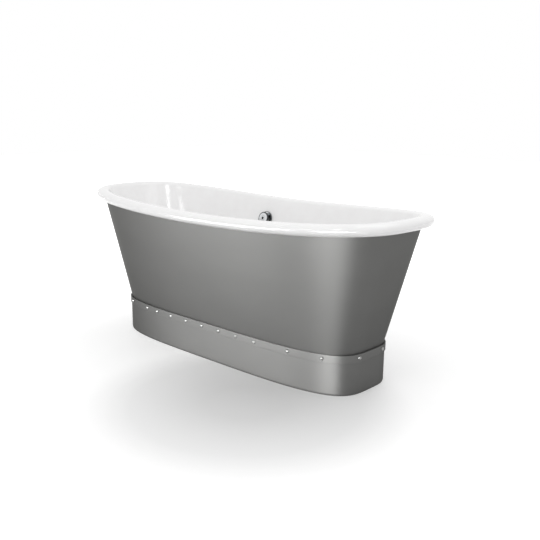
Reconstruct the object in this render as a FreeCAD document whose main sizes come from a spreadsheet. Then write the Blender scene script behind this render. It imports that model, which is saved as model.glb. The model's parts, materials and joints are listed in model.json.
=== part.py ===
import FreeCAD, Part
import math
import os

import Sketcher

Vec = FreeCAD.Vector
doc = FreeCAD.newDocument("double_ended_bath")

# A cast iron bath with two sloping ends and a rolled rim that rises towards them. A tapered sheet
# metal skirt hides its underside, and a riveted strap joins the skirt to an upright plinth.
# Millimetres. The origin is on the floor, under the middle of the bath. X runs along the bath,
# Y from its front (minus) to its back (plus), Z up.

# Driving dimensions

SIZES = (
    # The bath as a whole
    ("bath_length", 1700),
    ("bath_width", 690),
    ("rim_line_height", 625),
    ("rim_end_rise", 32),
    ("casting_wall", 8),
    ("bowl_floor_height", 195),
    # The rolled rim's section
    ("roll_width", 60),
    ("roll_rise", 20.5),
    ("roll_drop", 23.5),
    # Gaps between pieces that sit against each other, running fits, and what a cut runs past
    ("seat_gap", 0.3),
    ("running_gap", 0.06),
    ("overrun", 5),
    # Skirt, plinth and strap
    ("skirt_sheet", 3),
    ("skirt_end_inset", 44),
    ("skirt_side_inset", 23),
    ("skirt_tuck", 6),
    ("plinth_length", 1352),
    ("plinth_width", 428),
    ("plinth_height", 160),
    ("plinth_sheet", 3),
    ("strap_height", 31),
    ("strap_sheet", 3.5),
    # Rivets
    ("rivet_head_radius", 7.5),
    ("rivet_head_rise", 5),
    ("rivet_side_pitch", 102.5),
    ("rivet_pair_pitch", 78),
    ("rivet_seam_pitch", 169),
    ("rivet_side_shift", 45),
    # Brackets that hold the skirt's top under the rim
    ("bracket_width", 30),
    ("bracket_plate", 3),
    ("bracket_leg", 26),
    ("bracket_drop", 32),
    ("bracket_place", 380),
    # Feet under the casting
    ("foot_place_x", 340),
    ("foot_place_y", 70),
    ("foot_pad_length", 104),
    ("foot_pad_width", 54),
    ("foot_pad_depth", 12),
    ("foot_plate", 8),
    ("foot_column_side", 30),
    ("foot_boss_radius", 19),
    ("foot_boss_height", 30),
    ("foot_boss_base", 44),
    ("foot_bolt_spread", 36),
    ("foot_corner_radius", 8),
    ("bolt_radius", 5),
    ("bolt_hole_gap", 0.5),
    ("bolt_reach", 9),
    ("bolt_head_flats", 17),
    ("bolt_head_height", 6.4),
    # Levelling screws, their pads and lock nuts
    ("level_screw_radius", 8),
    ("level_screw_top", 88),
    ("level_hole_top", 112),
    ("level_collar_flats", 20),
    ("level_collar_base", 11),
    ("level_collar_height", 8),
    ("level_pad_radius", 26),
    ("level_pad_height", 9),
    ("level_tip_depth", 5),
    ("lock_nut_flats", 24),
    ("lock_nut_height", 8),
    # Overflow, measured along its own axis from the wall's inner face, plus towards the bather
    ("overflow_shift", 116),
    ("overflow_height", 545),
    ("overflow_hole_radius", 27),
    ("overflow_sleeve_radius", 25.5),
    ("overflow_sleeve_wall", 3),
    ("overflow_sleeve_depth", 16),
    ("overflow_flange_radius", 35),
    ("overflow_flange_plate", 4),
    ("overflow_gasket", 3),
    ("overflow_gasket_radius", 33),
    ("overflow_hub_radius", 8),
    ("overflow_hub_rise", 3),
    ("overflow_spoke_width", 5),
    ("overflow_drum_radius", 34),
    ("overflow_drum_wall", 3),
    ("overflow_drum_depth", 23.5),
    ("drum_bearing_wall", 3),
    ("spindle_radius", 3),
    ("pulley_radius", 7),
    ("pulley_groove_radius", 3.98),
    ("pulley_width", 5),
    ("pulley_setback", 25.5),
    ("knob_radius", 29),
    ("knob_base", 20),
    ("knob_rim", 5),
    ("knob_crown", 2.5),
    ("knob_boss_radius", 9.5),
    ("knob_recess_radius", 6),
    ("knob_recess_depth", 2),
    ("knob_screw_radius", 1.5),
    ("knob_screw_head_radius", 5),
    ("knob_screw_head", 1.6),
    ("knob_screw_length", 14),
    # Overflow hose and its two clips
    ("hose_radius", 11.5),
    ("hose_wall", 1.7),
    ("hose_lap", 16),
    ("spigot_wall", 2),
    ("spigot_reach", 21),
    ("clip_wall", 0.8),
    ("clip_width", 9),
    ("clip_ear", 5),
    # Control cable between the overflow and the waste
    ("cable_radius", 3),
    ("cable_lead", 72),
    ("cable_swing", 30),
    ("cable_dip", 12),
    ("gland_radius", 5),
    ("gland_reach", 8),
    ("wire_hole_radius", 1.5),
    # Waste, measured from the bowl's floor
    ("waste_recess_radius", 41),
    ("waste_recess_depth", 3),
    ("waste_boss_radius", 48),
    ("waste_boss_depth", 5),
    ("waste_hole_radius", 27),
    ("waste_flange_radius", 35),
    ("waste_flange_plate", 3),
    ("waste_gasket", 1.5),
    ("waste_sleeve_radius", 25),
    ("waste_throat_radius", 22),
    ("waste_sleeve_depth", 34),
    ("waste_rear_gasket", 3),
    ("waste_collar_radius", 38),
    ("waste_collar_plate", 5),
    ("waste_chamber_radius", 32),
    ("waste_chamber_wall", 4),
    ("waste_chamber_depth", 88),
    ("waste_cone_depth", 8),
    ("waste_tail_radius", 23.9),
    ("waste_tail_wall", 3.9),
    ("waste_tail_depth", 130),
    ("waste_port_drop", 68),
    ("spider_web", 3),
    ("spider_depth", 8),
    ("spider_hub_radius", 7),
    # Pop-up plug, its lifter and the rocker that raises it
    ("plug_cap_radius", 28),
    ("plug_cap_edge", 2),
    ("plug_cap_crown", 2.5),
    ("plug_seal", 1.4),
    ("plug_seal_radius", 25),
    ("plug_seal_lift", 0.1),
    ("plug_hub_radius", 8),
    ("plug_fin_web", 2.4),
    ("plug_fin_depth", 12),
    ("plug_stem_radius", 5),
    ("plug_stem_end", 19.8),
    ("lifter_radius", 3),
    ("lifter_gap", 0.2),
    ("plug_lift", 10),
    ("rocker_arm", 32),
    ("rocker_pivot_drop", 62),
    ("rocker_tip_radius", 4),
    ("rocker_hub_radius", 6.5),
    ("rocker_crank", 20),
    ("rocker_crank_radius", 3.5),
    ("rocker_web", 6),
    ("rocker_pin_radius", 2.5),
    ("rocker_box_width", 22),
    ("rocker_box_top", 34),
    ("rocker_box_height", 42),
    ("rocker_box_reach", 60),
    ("rocker_box_wall", 3.5),
    # Earth bonding tab on one foot
    ("earth_tab_length", 34),
    ("earth_tab_width", 16),
    ("earth_tab_plate", 2),
    ("earth_screw_radius", 3),
    ("earth_screw_head_radius", 5.5),
    ("earth_screw_head", 4),
)

# Shape numbers that have no length

ROLL_TILT_DEGREES = 7
ROLL_LIP_DEGREES = -60
RIM_RISE_POWER = 1.77
RIM_POWER = 3.16
BOWL_FLOOR_POWER = 2.5
SKIRT_TOP_POWER = 3.1
PLINTH_POWER = 3.8
SIDE_RIVETS = 7
END_RIVETS = 5
SPOKES = 3
FINS = 4

# How finely the lofts are divided: points round each ring, and strips from ring to ring. Strips are
# narrow enough to follow each curve to half a millimetre.
STATIONS = 64
WALL_ROWS = 14
ROLL_STEP_DEGREES = 20
BACK_STEP_DEGREES = 40
SKIRT_ROWS = 10
PLINTH_ROWS = 4

# The bowl's inner wall from its flat floor up to the roll, as shares of the rim's height above the
# floor, of the rim's half length and of its half width
WALL_HEIGHT_SHARES = (0, 0.004, 0.022, 0.06, 0.125, 0.25, 0.46, 0.67, 0.86, 1)
WALL_LENGTH_SHARES = (0.57, 0.60, 0.638, 0.672, 0.709, 0.764, 0.840, 0.908, 0.962, 1)
WALL_WIDTH_SHARES = (0.38, 0.47, 0.57, 0.625, 0.663, 0.708, 0.777, 0.847, 0.922, 1)

# The spreadsheet


class Size:
    """A length as a number, with the words that work it out from the spreadsheet's cells."""

    def __init__(self, value, words):
        self.value = value
        self.words = words

    def joined(self, other, sign, value):
        return Size(value, "(" + self.words + " " + sign + " " + as_size(other).words + ")")

    def __add__(self, other):
        return self.joined(other, "+", self.value + as_size(other).value)

    def __sub__(self, other):
        return self.joined(other, "-", self.value - as_size(other).value)

    def __mul__(self, other):
        return self.joined(other, "*", self.value * as_size(other).value)

    def __truediv__(self, other):
        return self.joined(other, "/", self.value / as_size(other).value)

    def __neg__(self):
        return as_size(0) - self

    def __float__(self):
        return float(self.value)


def as_size(number):
    """Return a Size as it is, and wrap a plain number."""
    if isinstance(number, Size):
        return number
    return Size(number, str(number))


class Sheet:
    """The driving dimensions, each one a Size under its own name."""


def fill_sheet():
    """Write every driving dimension to a cell with an alias, and return them by name."""
    cells = doc.addObject("Spreadsheet::Sheet", "Sizes")
    sheet = Sheet()
    for row, (name, value) in enumerate(SIZES, start=1):
        cells.set("A" + str(row), name)
        cells.set("B" + str(row), str(value))
        cells.setAlias("B" + str(row), name)
        setattr(sheet, name, Size(value, "Sizes." + name))
    doc.recompute()
    return sheet


S = fill_sheet()

# Small helpers for sketched bodies


def bind(thing, attribute, size):
    """Tie a property of an object to the spreadsheet."""
    thing.setExpression(attribute, as_size(size).words)


def new_body(label):
    """Start a body for one piece."""
    body = doc.addObject("PartDesign::Body", label)
    body.Label = label
    return body


def new_sketch(body, plane, height=0):
    """Attach an empty sketch to one of the body's own planes, at a height above it."""
    sketch = body.newObject("Sketcher::SketchObject", body.Label + "_sketch")
    origin_plane = [part for part in body.Origin.OriginFeatures if part.Role == plane][0]
    sketch.AttachmentSupport = [(origin_plane, "")]
    sketch.MapMode = "FlatFace"
    if height:
        bind(sketch, "AttachmentOffset.Base.z", height)
    return sketch


def pin_point(sketch, edge, x, y):
    """Fix the start of an edge at x and y, both worked out from the spreadsheet."""
    for size, axis, kind in ((x, -2, "DistanceX"), (y, -1, "DistanceY")):
        size = as_size(size)
        if size.value == 0:
            sketch.addConstraint(Sketcher.Constraint("PointOnObject", edge, 1, axis))
        else:
            number = sketch.addConstraint(Sketcher.Constraint(kind, -1, 1, edge, 1, size.value))
            sketch.setExpression("Constraints[" + str(number) + "]", size.words)


def draw_outline(sketch, corners):
    """Draw a closed outline through corners, each fixed in x and y."""
    points = [Vec(float(x), float(y), 0) for x, y in corners]
    first = sketch.GeometryCount
    count = len(points)
    for number, start in enumerate(points):
        sketch.addGeometry(Part.LineSegment(start, points[(number + 1) % count]), False)
    for number in range(count):
        following = first + (number + 1) % count
        sketch.addConstraint(Sketcher.Constraint("Coincident", first + number, 2, following, 1))
    for number, (x, y) in enumerate(corners):
        pin_point(sketch, first + number, x, y)


def draw_circle(sketch, x, y, radius):
    """Draw a circle with its centre and radius tied to the spreadsheet."""
    centre = Vec(float(x), float(y), 0)
    edge = sketch.addGeometry(Part.Circle(centre, Vec(0, 0, 1), float(radius)), False)
    for size, axis, kind in ((x, -2, "DistanceX"), (y, -1, "DistanceY")):
        size = as_size(size)
        if size.value == 0:
            sketch.addConstraint(Sketcher.Constraint("PointOnObject", edge, 3, axis))
        else:
            number = sketch.addConstraint(Sketcher.Constraint(kind, -1, 1, edge, 3, size.value))
            sketch.setExpression("Constraints[" + str(number) + "]", size.words)
    number = sketch.addConstraint(Sketcher.Constraint("Radius", edge, float(radius)))
    sketch.setExpression("Constraints[" + str(number) + "]", as_size(radius).words)


def rectangle(half_x, half_y, centre_x=0, centre_y=0):
    """Give the corners of a rectangle round a centre."""
    half_x, half_y = as_size(half_x), as_size(half_y)
    middle_x, middle_y = as_size(centre_x), as_size(centre_y)
    return (
        (middle_x - half_x, middle_y - half_y),
        (middle_x + half_x, middle_y - half_y),
        (middle_x + half_x, middle_y + half_y),
        (middle_x - half_x, middle_y + half_y),
    )


def hexagon(flats):
    """Give the corners of a hexagon from the distance across its flats."""
    reach = flats / math.sqrt(3)
    half = flats / 2
    return (
        (reach, 0),
        (reach / 2, half),
        (-reach / 2, half),
        (-reach, 0),
        (-reach / 2, -half),
        (reach / 2, -half),
    )


def turn(body, corners):
    """Turn an outline of radii and heights round the body's Z axis."""
    sketch = new_sketch(body, "XZ_Plane")
    draw_outline(sketch, corners)
    feature = body.newObject("PartDesign::Revolution", body.Label + "_turned")
    feature.Profile = sketch
    feature.ReferenceAxis = (sketch, ["V_Axis"])
    feature.Angle = 360
    doc.recompute()
    return feature


def pad(body, sketch, length, downwards=False):
    """Raise a sketch by a length, up or down from its plane."""
    feature = body.newObject("PartDesign::Pad", body.Label + "_pad")
    feature.Profile = sketch
    bind(feature, "Length", length)
    feature.Reversed = downwards
    sketch.Visibility = False
    doc.recompute()
    return feature


def pocket(body, sketch, length, upwards=False):
    """Cut a sketch into the body by a length, and check that it took something away."""
    before = body.Shape.Volume
    feature = body.newObject("PartDesign::Pocket", body.Label + "_pocket")
    feature.Profile = sketch
    bind(feature, "Length", length)
    feature.Reversed = upwards
    doc.recompute()
    if body.Shape.Volume >= before:
        raise RuntimeError(body.Label + ": a pocket cut nothing")
    return feature


def repeat_round(body, feature, count):
    """Repeat a feature round the body's Z axis."""
    pattern = body.newObject("PartDesign::PolarPattern", body.Label + "_pattern")
    pattern.Originals = [feature]
    axis = [part for part in body.Origin.OriginFeatures if part.Role == "Z_Axis"][0]
    pattern.Axis = (axis, [""])
    pattern.Angle = 360
    pattern.Occurrences = count
    body.Tip = pattern
    doc.recompute()
    return pattern


def shape_piece(label, shape, place=None):
    """Keep a shape as a piece of its own, with its placement set after the shape."""
    piece = doc.addObject("Part::Feature", label)
    piece.Label = label
    piece.Shape = shape
    if place is not None:
        piece.Placement = place
    return piece


# Outlines, and surfaces lofted over them


def ring_point(half_length, half_width, power, angle):
    """Give the point at an angle on a rounded oblong: an ellipse with its squares made a higher power."""
    cosine, sine = math.cos(angle), math.sin(angle)
    x = math.copysign(float(half_length) * abs(cosine) ** (2 / power), cosine)
    y = math.copysign(float(half_width) * abs(sine) ** (2 / power), sine)
    return x, y


def even_stations(half_length, half_width, power, count):
    """Give the angles at which evenly spaced points lie along one rounded oblong."""
    steps = 40 * count
    quarter = steps // 4
    angles = [math.pi / 2 * (1 - math.cos(math.pi * step / quarter)) / 2 for step in range(quarter + 1)]
    points = [ring_point(half_length, half_width, power, angle) for angle in angles]
    lengths = [0]
    for start, end in zip(points, points[1:]):
        lengths.append(lengths[-1] + math.dist(start, end))
    wanted = [lengths[-1] * step / (count // 4) for step in range(count // 4)]
    first = []
    for length in wanted:
        number = max(index for index, value in enumerate(lengths) if value <= length)
        number = min(number, quarter - 1)
        share = (length - lengths[number]) / (lengths[number + 1] - lengths[number])
        first.append(angles[number] + share * (angles[number + 1] - angles[number]))
    second = [math.pi - angle for angle in reversed(first[1:])]
    half = first + [math.pi / 2] + second
    return half + [angle + math.pi for angle in half]


RIM_HALF_LENGTH = S.bath_length / 2 - S.roll_width / 2
RIM_HALF_WIDTH = S.bath_width / 2 - S.roll_width / 2
ANGLES = even_stations(RIM_HALF_LENGTH, RIM_HALF_WIDTH, RIM_POWER, STATIONS)


def outline(half_length, half_width, power):
    """Give the plan points of a rounded oblong at the shared stations."""
    return [ring_point(half_length, half_width, power, angle) for angle in ANGLES]


def plan_normals(points):
    """Give the outward direction at each plan point, square to the line between its neighbours."""
    count = len(points)
    normals = []
    for number in range(count):
        before, after = points[number - 1], points[(number + 1) % count]
        run_x, run_y = after[0] - before[0], after[1] - before[1]
        length = math.hypot(run_x, run_y)
        normals.append((run_y / length, -run_x / length))
    return normals


def rim_height(share):
    """Give the height of the rim's centre line at a share of the bath's half length."""
    return float(S.rim_line_height) + float(S.rim_end_rise) * abs(share) ** RIM_RISE_POWER


def offset_ring(points, offset, heights):
    """Move plan points outwards and lift each one to its own height."""
    moved = []
    for (x, y), (normal_x, normal_y), height in zip(points, plan_normals(points), heights):
        moved.append(Vec(x + offset * normal_x, y + offset * normal_y, height))
    return moved


def level_ring(points, offset, height):
    """Move plan points outwards at one height."""
    return offset_ring(points, float(offset), [float(height)] * len(points))


def closed_curve(points):
    """Pass a smooth closed curve through a ring of points, one parameter step for each."""
    curve = Part.BSplineCurve()
    steps = [float(number) for number in range(len(points) + 1)]
    curve.interpolate(Points=points, PeriodicFlag=True, Parameters=steps)
    return curve


def halves(points):
    """Give the two halves of the smooth curve round a ring of points, which meet at its ends."""
    half = len(points) // 2
    curves = []
    for first in (0, half):
        curve = closed_curve(points)
        curve.segment(float(first), float(first + half))
        curves.append(curve)
    return curves


def strip(lower, upper):
    """Loft straight across from a ring of points to the next, as one face for each half."""
    faces = []
    for start, end in zip(halves(lower), halves(upper)):
        surface = Part.BSplineSurface()
        surface.buildFromPolesMultsKnots(
            list(zip(start.getPoles(), end.getPoles())),
            start.getMultiplicities(),
            [2, 2],
            start.getKnots(),
            [0, 1],
            False,
            False,
            start.Degree,
            1,
        )
        faces.append(surface.toShape())
    return faces


def loft(rings):
    """Loft a strip between each ring of points and the next."""
    faces = []
    for lower, upper in zip(rings, rings[1:]):
        faces += strip(lower, upper)
    return faces


def rings_between(first, last, count):
    """Give rings evenly spaced on the straight way from one ring to another, both included."""
    rings = []
    for number in range(count + 1):
        share = number / count
        rings.append([start + (end - start) * share for start, end in zip(first, last)])
    return rings


def flat_cap(points):
    """Fill a level ring of points with a flat face."""
    return Part.Face(Part.Wire([curve.toShape() for curve in halves(points)]))


def flat_edge(outer, inner):
    """Fill the level gap between a ring of points and one inside it with a flat face."""
    wires = [Part.Wire([curve.toShape() for curve in halves(points)]) for points in (outer, inner)]
    return Part.makeFace(wires, "Part::FaceMakerBullseye")


def joined_solid(faces):
    """Sew faces into one closed solid."""
    shell = Part.makeShell(faces)
    shell.sewShape()
    solid = Part.makeSolid(shell.Shells[0])
    if solid.Volume < 0:
        solid.reverse()
    return solid


def ring_wall(rings):
    """Make a thin closed wall from the rings of its section, taken in order round the section."""
    return joined_solid(loft(rings + rings[:1]))


def crossings(shape, start, end):
    """Give the points where a straight line enters and leaves a shape, in order along the line."""
    inside = shape.common(Part.makeLine(start, end))
    points = [vertex.Point for vertex in inside.Vertexes]
    return sorted(points, key=lambda point: (point - start).Length)


def roll_point(half_width, rise, drop, degrees):
    """Give how far out and how high a point of the roll's section lies from its centre line."""
    angle = math.radians(degrees)
    tilt = math.radians(ROLL_TILT_DEGREES)
    out = half_width * math.cos(angle)
    up = (rise if degrees >= 0 else drop) * math.sin(angle)
    return out * math.cos(tilt) + up * math.sin(tilt), up * math.cos(tilt) - out * math.sin(tilt)


# Pieces: each function makes one sub-part


def wall_rows():
    """Give height, half length and half width up the bowl's wall, evenly spaced on a smooth curve."""
    inner_length = float(S.bath_length / 2 - S.roll_width)
    inner_width = float(S.bath_width / 2 - S.roll_width)
    depth = float(S.rim_line_height - S.bowl_floor_height)
    rows = []
    for height, length, width in zip(WALL_HEIGHT_SHARES, WALL_LENGTH_SHARES, WALL_WIDTH_SHARES):
        rows.append(Vec(height * depth, length * inner_length, width * inner_width))
    curve = Part.BSplineCurve()
    curve.interpolate(rows)
    return curve.discretize(WALL_ROWS + 1)


def wall_rings(offset):
    """Give the rings of the bowl's wall from its floor upwards, moved out through the casting."""
    depth = float(S.rim_line_height - S.bowl_floor_height)
    rows = wall_rows()
    rings = []
    for number, (height, half_length, half_width) in enumerate(rows[:-1]):
        height_share = height / depth
        out, down = 0.0, 1.0
        if number > 0:
            run = rows[number + 1].z - rows[number - 1].z
            rise = rows[number + 1].x - rows[number - 1].x
            out, down = rise / math.hypot(run, rise), run / math.hypot(run, rise)
        power = BOWL_FLOOR_POWER + (RIM_POWER - BOWL_FLOOR_POWER) * math.sqrt(height_share)
        plan = outline(half_length, half_width, power)
        floor = float(S.bowl_floor_height)
        levels = []
        for x, y in plan:
            top = rim_height(x / half_length)
            levels.append(floor + height_share * (top - floor) - offset * down)
        rings.append(offset_ring(plan, offset * out, levels))
    return rings


def roll_rings(inset, first_degrees, last_degrees, step_degrees):
    """Give the rings of the rolled rim between two angles of its section, set in from its skin."""
    plan = outline(RIM_HALF_LENGTH, RIM_HALF_WIDTH, RIM_POWER)
    half_width = float(S.roll_width / 2) - inset
    rise, drop = float(S.roll_rise) - inset, float(S.roll_drop) - inset
    rings = []
    for degrees in range(first_degrees, last_degrees + step_degrees, step_degrees):
        out, up = roll_point(half_width, rise, drop, degrees)
        levels = [rim_height(x / float(RIM_HALF_LENGTH)) + up for x, y in plan]
        rings.append(offset_ring(plan, out, levels))
    return rings


def make_bowl_blank():
    """Loft the bowl: its inner wall and roll, the lip, and the back of both, closed by two floors."""
    wall = float(S.casting_wall)
    rings = wall_rings(0.0)
    rings += roll_rings(0.0, 180, ROLL_LIP_DEGREES, -ROLL_STEP_DEGREES)
    rings += roll_rings(wall, ROLL_LIP_DEGREES, 180, BACK_STEP_DEGREES)
    rings += wall_rings(wall)[::-1]
    return joined_solid(loft(rings) + [flat_cap(rings[0]), flat_cap(rings[-1])])


WASTE_X = -S.overflow_shift
FOOT_TOP = S.bowl_floor_height - S.casting_wall - S.foot_pad_depth


def foot_places():
    """Give each foot's name ending and its place along and across the bath."""
    for across, side in ((-1, "front"), (1, "rear")):
        for along, end in ((-1, "left"), (1, "right")):
            yield side + "_" + end, float(S.foot_place_x) * along, float(S.foot_place_y) * across


def overflow_frame(bowl):
    """Give the placement of the overflow: square to the wall, plus Z towards the bather."""
    x, height = float(WASTE_X), float(S.overflow_height)
    radius = float(S.overflow_gasket_radius)
    reach = float(S.bath_width / 2)
    places = []
    for level in (height - radius, height + radius, height):
        points = crossings(bowl, Vec(x, 0, level), Vec(x, reach, level))
        places.append(points[0])
    low, high, middle = places
    up = (high - low).normalize()
    along = Vec(1, 0, 0)
    out = along.cross(up).normalize()
    return FreeCAD.Placement(middle, FreeCAD.Rotation(along, up, out, "ZXY"))


def make_casting(bowl, overflow):
    """Finish the casting: bolting pads, the waste's boss, recess and hole, and the overflow's hole."""
    solid = bowl
    under = float(S.bowl_floor_height - S.casting_wall)
    overlap = float(S.casting_wall / 2)
    length, width = float(S.foot_pad_length), float(S.foot_pad_width)
    for _, x, y in foot_places():
        corner = Vec(x - length / 2, y - width / 2, float(FOOT_TOP))
        block = Part.makeBox(length, width, float(S.foot_pad_depth) + overlap, corner)
        upright = [edge for edge in block.Edges if abs(edge.tangentAt(0).z) > 0.5]
        solid = solid.fuse(block.makeFillet(float(S.foot_corner_radius), upright))
    centre = Vec(float(WASTE_X), 0, under - float(S.waste_boss_depth))
    boss_height = float(S.waste_boss_depth) + overlap
    solid = solid.fuse(Part.makeCylinder(float(S.waste_boss_radius), boss_height, centre))
    floor = float(S.bowl_floor_height)
    recess = Vec(float(WASTE_X), 0, floor - float(S.waste_recess_depth))
    deep = float(S.waste_recess_depth + S.overrun)
    solid = solid.cut(Part.makeCylinder(float(S.waste_recess_radius), deep, recess))
    through = centre - Vec(0, 0, float(S.overrun))
    hole_length = floor - through.z
    solid = solid.cut(Part.makeCylinder(float(S.waste_hole_radius), hole_length, through))
    for _, x, y in foot_places():
        for side in (-1, 1):
            mouth = Vec(x + side * float(S.foot_bolt_spread), y, float(FOOT_TOP))
            solid = solid.cut(Part.makeCylinder(float(S.bolt_radius), float(S.bolt_reach), mouth))
    reach = float(S.casting_wall + S.overrun)
    drill = Part.makeCylinder(float(S.overflow_hole_radius), reach * 2, Vec(0, 0, -reach))
    drill.Placement = overflow
    return shape_piece("bath_casting", solid.cut(drill))


def plinth_outline():
    """Give the plinth's plan at the shared stations."""
    return outline(S.plinth_length / 2, S.plinth_width / 2, PLINTH_POWER)


def rivet_places():
    """Give each rivet's point on the plinth's face and its outward direction, by distance round it."""
    curve = closed_curve([Vec(x, y, 0) for x, y in plinth_outline()])
    whole = curve.length()
    half = whole / 2
    front = curve.parameter(Vec(0, -float(S.plinth_width / 2), 0))
    front_distance = curve.length(curve.FirstParameter, front)
    run = float(S.rivet_side_pitch) * (SIDE_RIVETS - 1)
    first = -float(S.rivet_side_shift) - run / 2
    steps = [first - float(S.rivet_pair_pitch)]
    steps += [first + float(S.rivet_side_pitch) * number for number in range(SIDE_RIVETS)]
    end = first + run + float(S.rivet_seam_pitch)
    pitch = (steps[0] + half - end) / END_RIVETS
    steps += [end + pitch * number for number in range(END_RIVETS)]
    places = []
    for step in steps + [step + half for step in steps]:
        parameter = curve.parameterAtDistance((front_distance + step) % whole, curve.FirstParameter)
        tangent = curve.tangent(parameter)[0]
        places.append((curve.value(parameter), Vec(tangent.y, -tangent.x, 0)))
    return places


RIVET_HEIGHT = S.plinth_height - S.strap_height / 2
STRAP_FACE = S.seat_gap + S.strap_sheet
LEG_OFFSET = S.plinth_sheet + S.seat_gap


def make_skirt():
    """Fold the skirt: an upright leg behind the plinth, then one straight taper up under the rim."""
    plan = plinth_outline()
    low = float(S.plinth_height - S.strap_height)
    bend = float(S.plinth_height)
    leg = -float(LEG_OFFSET)
    sheet = float(S.skirt_sheet)
    top_length = S.bath_length / 2 - S.skirt_end_inset
    top_width = S.bath_width / 2 - S.skirt_side_inset
    top = outline(top_length, top_width, SKIRT_TOP_POWER)
    levels = [rim_height(x / float(top_length)) - float(S.skirt_tuck) for x, y in top]
    outside = rings_between(level_ring(plan, leg, bend), offset_ring(top, 0.0, levels), SKIRT_ROWS)
    behind = level_ring(plan, leg - sheet, bend)
    inside = rings_between(offset_ring(top, -sheet, levels), behind, SKIRT_ROWS)
    rings = [level_ring(plan, leg, low)] + outside + inside + [level_ring(plan, leg - sheet, low)]
    return shape_piece("skirt_panel", ring_wall(rings))


def make_band(label, low, high, inner, outer, rows):
    """Bend a flat band round the plinth's outline, in rows up its height."""
    plan = plinth_outline()
    outside = rings_between(level_ring(plan, outer, low), level_ring(plan, outer, high), rows)
    inside = rings_between(level_ring(plan, inner, low), level_ring(plan, inner, high), rows)
    edges = [flat_edge(outside[0], inside[0]), flat_edge(outside[-1], inside[-1])]
    return shape_piece(label, joined_solid(loft(outside) + loft(inside) + edges))


def make_rivets():
    """Cut one domed rivet head from a ball and set a copy on the strap at each place."""
    radius, rise = float(S.rivet_head_radius), float(S.rivet_head_rise)
    sphere = (radius ** 2 + rise ** 2) / (2 * rise)
    seat = float(STRAP_FACE + S.running_gap)
    ball = Part.makeSphere(sphere, Vec(0, 0, seat + rise - sphere))
    head = ball.common(Part.makeCylinder(radius * 2, rise * 2, Vec(0, 0, seat)))
    copies = []
    for point, outwards in rivet_places():
        copy = head.copy()
        turned = FreeCAD.Rotation(Vec(0, 0, 1), outwards)
        copy.Placement = FreeCAD.Placement(point + Vec(0, 0, float(RIVET_HEIGHT)), turned)
        copies.append(copy)
    return shape_piece("strap_rivets", Part.makeCompound(copies))


def make_brackets(bowl, skirt):
    """Fold the angle brackets that carry the skirt's top edge off the casting."""
    plate, gap = float(S.bracket_plate), float(S.seat_gap)
    width, leg = float(S.bracket_width), float(S.bracket_leg)
    reach = float(S.roll_width)
    place_share = float(S.bracket_place / RIM_HALF_LENGTH)
    side_angle = math.acos(place_share ** (RIM_POWER / 2))
    turns = (0, side_angle, math.pi - side_angle, math.pi, math.pi + side_angle, -side_angle)
    angles = [turn_angle % (2 * math.pi) for turn_angle in turns]
    brackets = []
    for angle in angles:
        x, y = ring_point(RIM_HALF_LENGTH, RIM_HALF_WIDTH, RIM_POWER, angle)
        small = 1 / STATIONS
        ahead = ring_point(RIM_HALF_LENGTH, RIM_HALF_WIDTH, RIM_POWER, angle + small)
        behind = ring_point(RIM_HALF_LENGTH, RIM_HALF_WIDTH, RIM_POWER, angle - small)
        outwards = Vec(ahead[1] - behind[1], behind[0] - ahead[0], 0).normalize()
        sideways = Vec(-outwards.y, outwards.x, 0)
        top = rim_height(x / float(RIM_HALF_LENGTH)) - float(S.bracket_drop)
        skirt_at, bowl_at = [], []
        for level in (top, top - plate, top - leg):
            start = Vec(x, y, level) - outwards * reach
            to_skirt, to_bowl = [], []
            for aside in (-width / 2, 0, width / 2):
                near = start + sideways * aside
                far = near + outwards * (reach * 2)
                to_skirt.append((crossings(skirt, near, far)[0] - near).Length)
                to_bowl.append((crossings(bowl, near, far)[-1] - near).Length)
            skirt_at.append(start + outwards * (min(to_skirt) - gap))
            bowl_at.append(start + outwards * (max(to_bowl) + gap))
        corners = [
            bowl_at[0],
            skirt_at[0],
            skirt_at[2],
            skirt_at[2] - outwards * plate,
            skirt_at[1] - outwards * plate,
            bowl_at[1],
        ]
        face = Part.Face(Part.makePolygon(corners + corners[:1]))
        face.translate(sideways * (-width / 2))
        brackets.append(face.extrude(sideways * width))
    return shape_piece("skirt_brackets", Part.makeCompound(brackets))


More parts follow.
